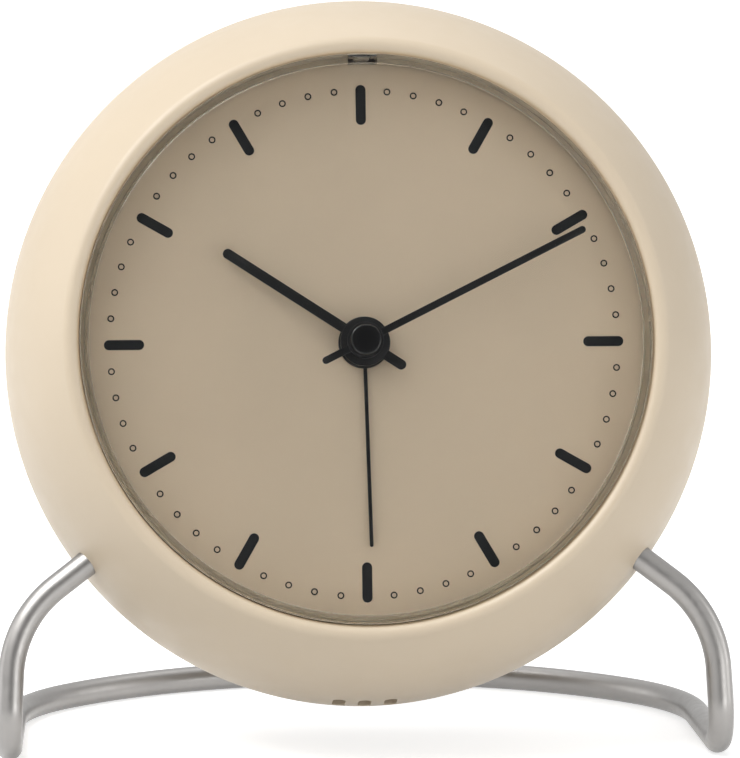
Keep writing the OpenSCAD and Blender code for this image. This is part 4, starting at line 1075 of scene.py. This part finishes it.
class CLOCK_OT_winding(bpy.types.Operator):
    """Turn the motor's copper winding, turn beside turn"""

    bl_idname = "clock.winding"
    bl_label = "Coil winding"

    def execute(self, context):
        core_r, out_r = 1.7 * MM, 2.9 * MM
        start, run, count = -14.7 * MM, 14.4 * MM, 48
        pitch = run / count
        piece = start_outline("copper_winding", core_r, start)
        run_to(piece, out_r - pitch / 2, start)
        for i in range(count):
            run_to(piece, out_r, start + (i + 0.5) * pitch)
            run_to(piece, out_r - pitch / 2, start + (i + 1) * pitch)
        run_to(piece, core_r, start + run)
        close_outline()
        turn(48)
        place = Matrix.Translation((0, -19.2 * MM, 3.45 * MM)) @ ALONG_X
        complete(piece, 60, "root", "copper_wire", "coil_winding", place)
        return {"FINISHED"}


# Stage: camera, floor, background and lamps


def white_for_seeing(tree, strength):
    """White light, and the factor that shows it to the camera, to gloss and to glass."""
    path = tree.nodes.new("ShaderNodeLightPath").outputs
    seen = path["Is Camera Ray"]
    for name in ("Is Glossy Ray", "Is Transmission Ray"):
        seen = maths(tree, "MAXIMUM", seen, path[name])
    first = maths(tree, "LESS_THAN", path["Diffuse Depth"], 0.5)
    glow = tree.nodes.new("ShaderNodeEmission")
    glow.inputs["Strength"].default_value = strength
    return maths(tree, "MULTIPLY", seen, first), glow


def light_by_direction(tree):
    """Soft light from above on the left; gloss sees white, but dusk where the crystal mirrors."""
    nodes, links = tree.nodes, tree.links

    def towards(direction, power):
        dot = nodes.new("ShaderNodeVectorMath")
        dot.operation = "DOT_PRODUCT"
        links.new(place.outputs["Generated"], dot.inputs[0])
        dot.inputs[1].default_value = Vector(direction).normalized()
        return maths(tree, "POWER", maths(tree, "MAXIMUM", dot.outputs["Value"], 0), power)

    place = nodes.new("ShaderNodeTexCoord")
    # Direction of the softest light, and of what the crystal mirrors to the camera
    above, mirrored = (-0.38, -0.1, 0.92), (0.06, -0.94, 0.335)
    soft = maths(tree, "ADD", 0.26, maths(tree, "MULTIPLY", 0.6, towards(above, 6)))
    dusk = maths(tree, "MULTIPLY", 0.92, towards(mirrored, 14))
    gloss = maths(tree, "ADD", maths(tree, "SUBTRACT", 1, dusk), towards(above, 12))
    camera = nodes.new("ShaderNodeLightPath").outputs["Is Camera Ray"]
    unseen = maths(tree, "SUBTRACT", 1, camera)
    shown = maths(tree, "ADD", camera, maths(tree, "MULTIPLY", unseen, gloss))
    seen, glow = white_for_seeing(tree, 1)
    links.new(shown, glow.inputs["Strength"])
    plain = nodes["Background"]
    plain.inputs["Color"].default_value = (1, 1, 1, 1)
    links.new(soft, plain.inputs["Strength"])
    either = nodes.new("ShaderNodeMixShader")
    links.new(seen, either.inputs["Fac"])
    links.new(plain.outputs[0], either.inputs[1])
    links.new(glow.outputs[0], either.inputs[2])
    links.new(either.outputs[0], nodes["World Output"].inputs["Surface"])


def area_lamp(name, at, towards, width, height, power):
    """White lamp that points at a place; sizes in metres, power in watts."""
    clear_selection()
    bpy.ops.object.light_add(type="AREA", location=at)
    lamp = bpy.context.object
    lamp.name = name
    lamp.data.shape = "RECTANGLE"
    lamp.data.size = width
    lamp.data.size_y = height
    lamp.data.energy = power
    lamp.rotation_mode = "QUATERNION"
    lamp.rotation_quaternion = (Vector(towards) - Vector(at)).to_track_quat("-Z", "Y")


def clear_start_scene():
    """Deletes what a new Blender file starts with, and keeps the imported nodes."""
    clear_selection()
    kept = set(frame["nodes"].values()) | set(frame["bodies"].values())
    for thing in bpy.context.scene.objects:
        thing.select_set(thing not in kept)
    bpy.ops.object.delete()


class CLOCK_OT_stage(bpy.types.Operator):
    """Set up the camera, the pale floor, the background and the lamps"""

    bl_idname = "clock.stage"
    bl_label = "Stage"

    def execute(self, context):
        scene = context.scene
        s = scene.clock_sizes
        # The camera turns a little to the right and looks down, from 1.5 m away
        turned, down, away = math.radians(3.3), math.radians(8.4), 1.5
        level = math.cos(down)
        look = Vector((level * math.sin(turned), level * math.cos(turned), -math.sin(down)))
        right = look.cross(Vector((0, 0, 1))).normalized()
        above = right.cross(look)
        clear_start_scene()
        centre = Vector((0, s.head_back, s.head_height))
        aim = centre + right * 1.79 * MM - above * 4.02 * MM
        clear_selection()
        bpy.ops.object.camera_add(location=aim - look * away)
        camera = context.object
        camera.rotation_mode = "QUATERNION"
        camera.rotation_quaternion = look.to_track_quat("-Z", "Y")
        camera.data.sensor_width = 36
        camera.data.lens = 457.4
        camera.data.clip_start = 0.1
        camera.data.clip_end = 30
        scene.camera = camera

        clear_selection()
        bpy.ops.mesh.primitive_plane_add(size=12)
        floor = context.object
        floor.name = "floor"
        paper = Finish("white paper")
        paper.set(roughness=0.9, specular_ior_level=0.1)
        paper.tint((0.70, 0.70, 0.70), 0.01, 3)
        paper.grain(900, 2e-5, 0.2)
        nodes, links, surface = paper.nodes, paper.links, paper.shader.outputs[0]
        seen, glow = white_for_seeing(paper.tree, 0.72)
        both = nodes.new("ShaderNodeAddShader")
        shown = nodes.new("ShaderNodeMixShader")
        links.new(surface, both.inputs[0])
        links.new(glow.outputs[0], both.inputs[1])
        links.new(seen, shown.inputs["Fac"])
        links.new(surface, shown.inputs[1])
        links.new(both.outputs[0], shown.inputs[2])
        links.new(shown.outputs[0], nodes["Material Output"].inputs["Surface"])
        floor.data.materials.append(paper.material)

        world = bpy.data.worlds.new("studio")
        scene.world = world
        world.use_nodes = True
        light_by_direction(world.node_tree)

        target = (0, 0, 0.06)
        area_lamp("key", (-0.6, -0.38, 1.03), target, 0.9, 0.7, 14.5)
        area_lamp("above", (0.15, 0.5, 0.95), target, 0.9, 0.5, 1.5)
        area_lamp("left", (-0.95, 0.2, 0.2), target, 0.5, 0.8, 1.6)
        area_lamp("right", (0.9, -0.1, 0.3), target, 0.4, 0.6, 1.6)
        area_lamp("low", (0.30, -0.38, 0.05), target, 0.25, 0.2, 0.6)
        scene.view_settings.view_transform = "Standard"
        return {"FINISHED"}


class CLOCK_PT_panel(bpy.types.Panel):
    """Lists the clock's pieces in the 3D view's sidebar"""

    bl_idname = "CLOCK_PT_panel"
    bl_label = "Round alarm clock"
    bl_space_type = "VIEW_3D"
    bl_region_type = "UI"
    bl_category = "Clock"

    def draw(self, context):
        column = self.layout.column()
        for group in (context.scene.clock_sizes, context.scene.clock_colours):
            for name in group.__annotations__:
                column.prop(group, name)
        for step in STEPS:
            column.operator(step.bl_idname)


STEPS = (
    CLOCK_OT_stage,
    CLOCK_OT_finishes,
    CLOCK_OT_case_shell,
    CLOCK_OT_back_shell,
    CLOCK_OT_crystal,
    CLOCK_OT_gasket,
    CLOCK_OT_hands,
    CLOCK_OT_cap,
    CLOCK_OT_lamp,
    CLOCK_OT_stand,
    CLOCK_OT_knobs,
    CLOCK_OT_controls,
    CLOCK_OT_battery,
    CLOCK_OT_winding,
)
CLASSES = (CLOCK_PG_sizes, CLOCK_PG_colours, *STEPS, CLOCK_PT_panel)


def register():
    """Adds the clock's settings, operators and panel to Blender."""
    for cls in CLASSES:
        bpy.utils.register_class(cls)
    bpy.types.Scene.clock_sizes = PointerProperty(type=CLOCK_PG_sizes)
    bpy.types.Scene.clock_colours = PointerProperty(type=CLOCK_PG_colours)


def unregister():
    """Takes them out again."""
    del bpy.types.Scene.clock_colours
    del bpy.types.Scene.clock_sizes
    for cls in reversed(CLASSES):
        bpy.utils.unregister_class(cls)


def main():
    register()
    bpy.ops.clock.stage()
    bpy.ops.clock.finishes()
    bpy.ops.clock.case_shell()
    bpy.ops.clock.back_shell()
    bpy.ops.clock.crystal()
    bpy.ops.clock.gasket()
    bpy.ops.clock.hands()
    bpy.ops.clock.cap()
    bpy.ops.clock.lamp()
    bpy.ops.clock.stand()
    bpy.ops.clock.knobs()
    bpy.ops.clock.controls()
    bpy.ops.clock.battery()
    bpy.ops.clock.winding()


if __name__ == "__main__":
    main()
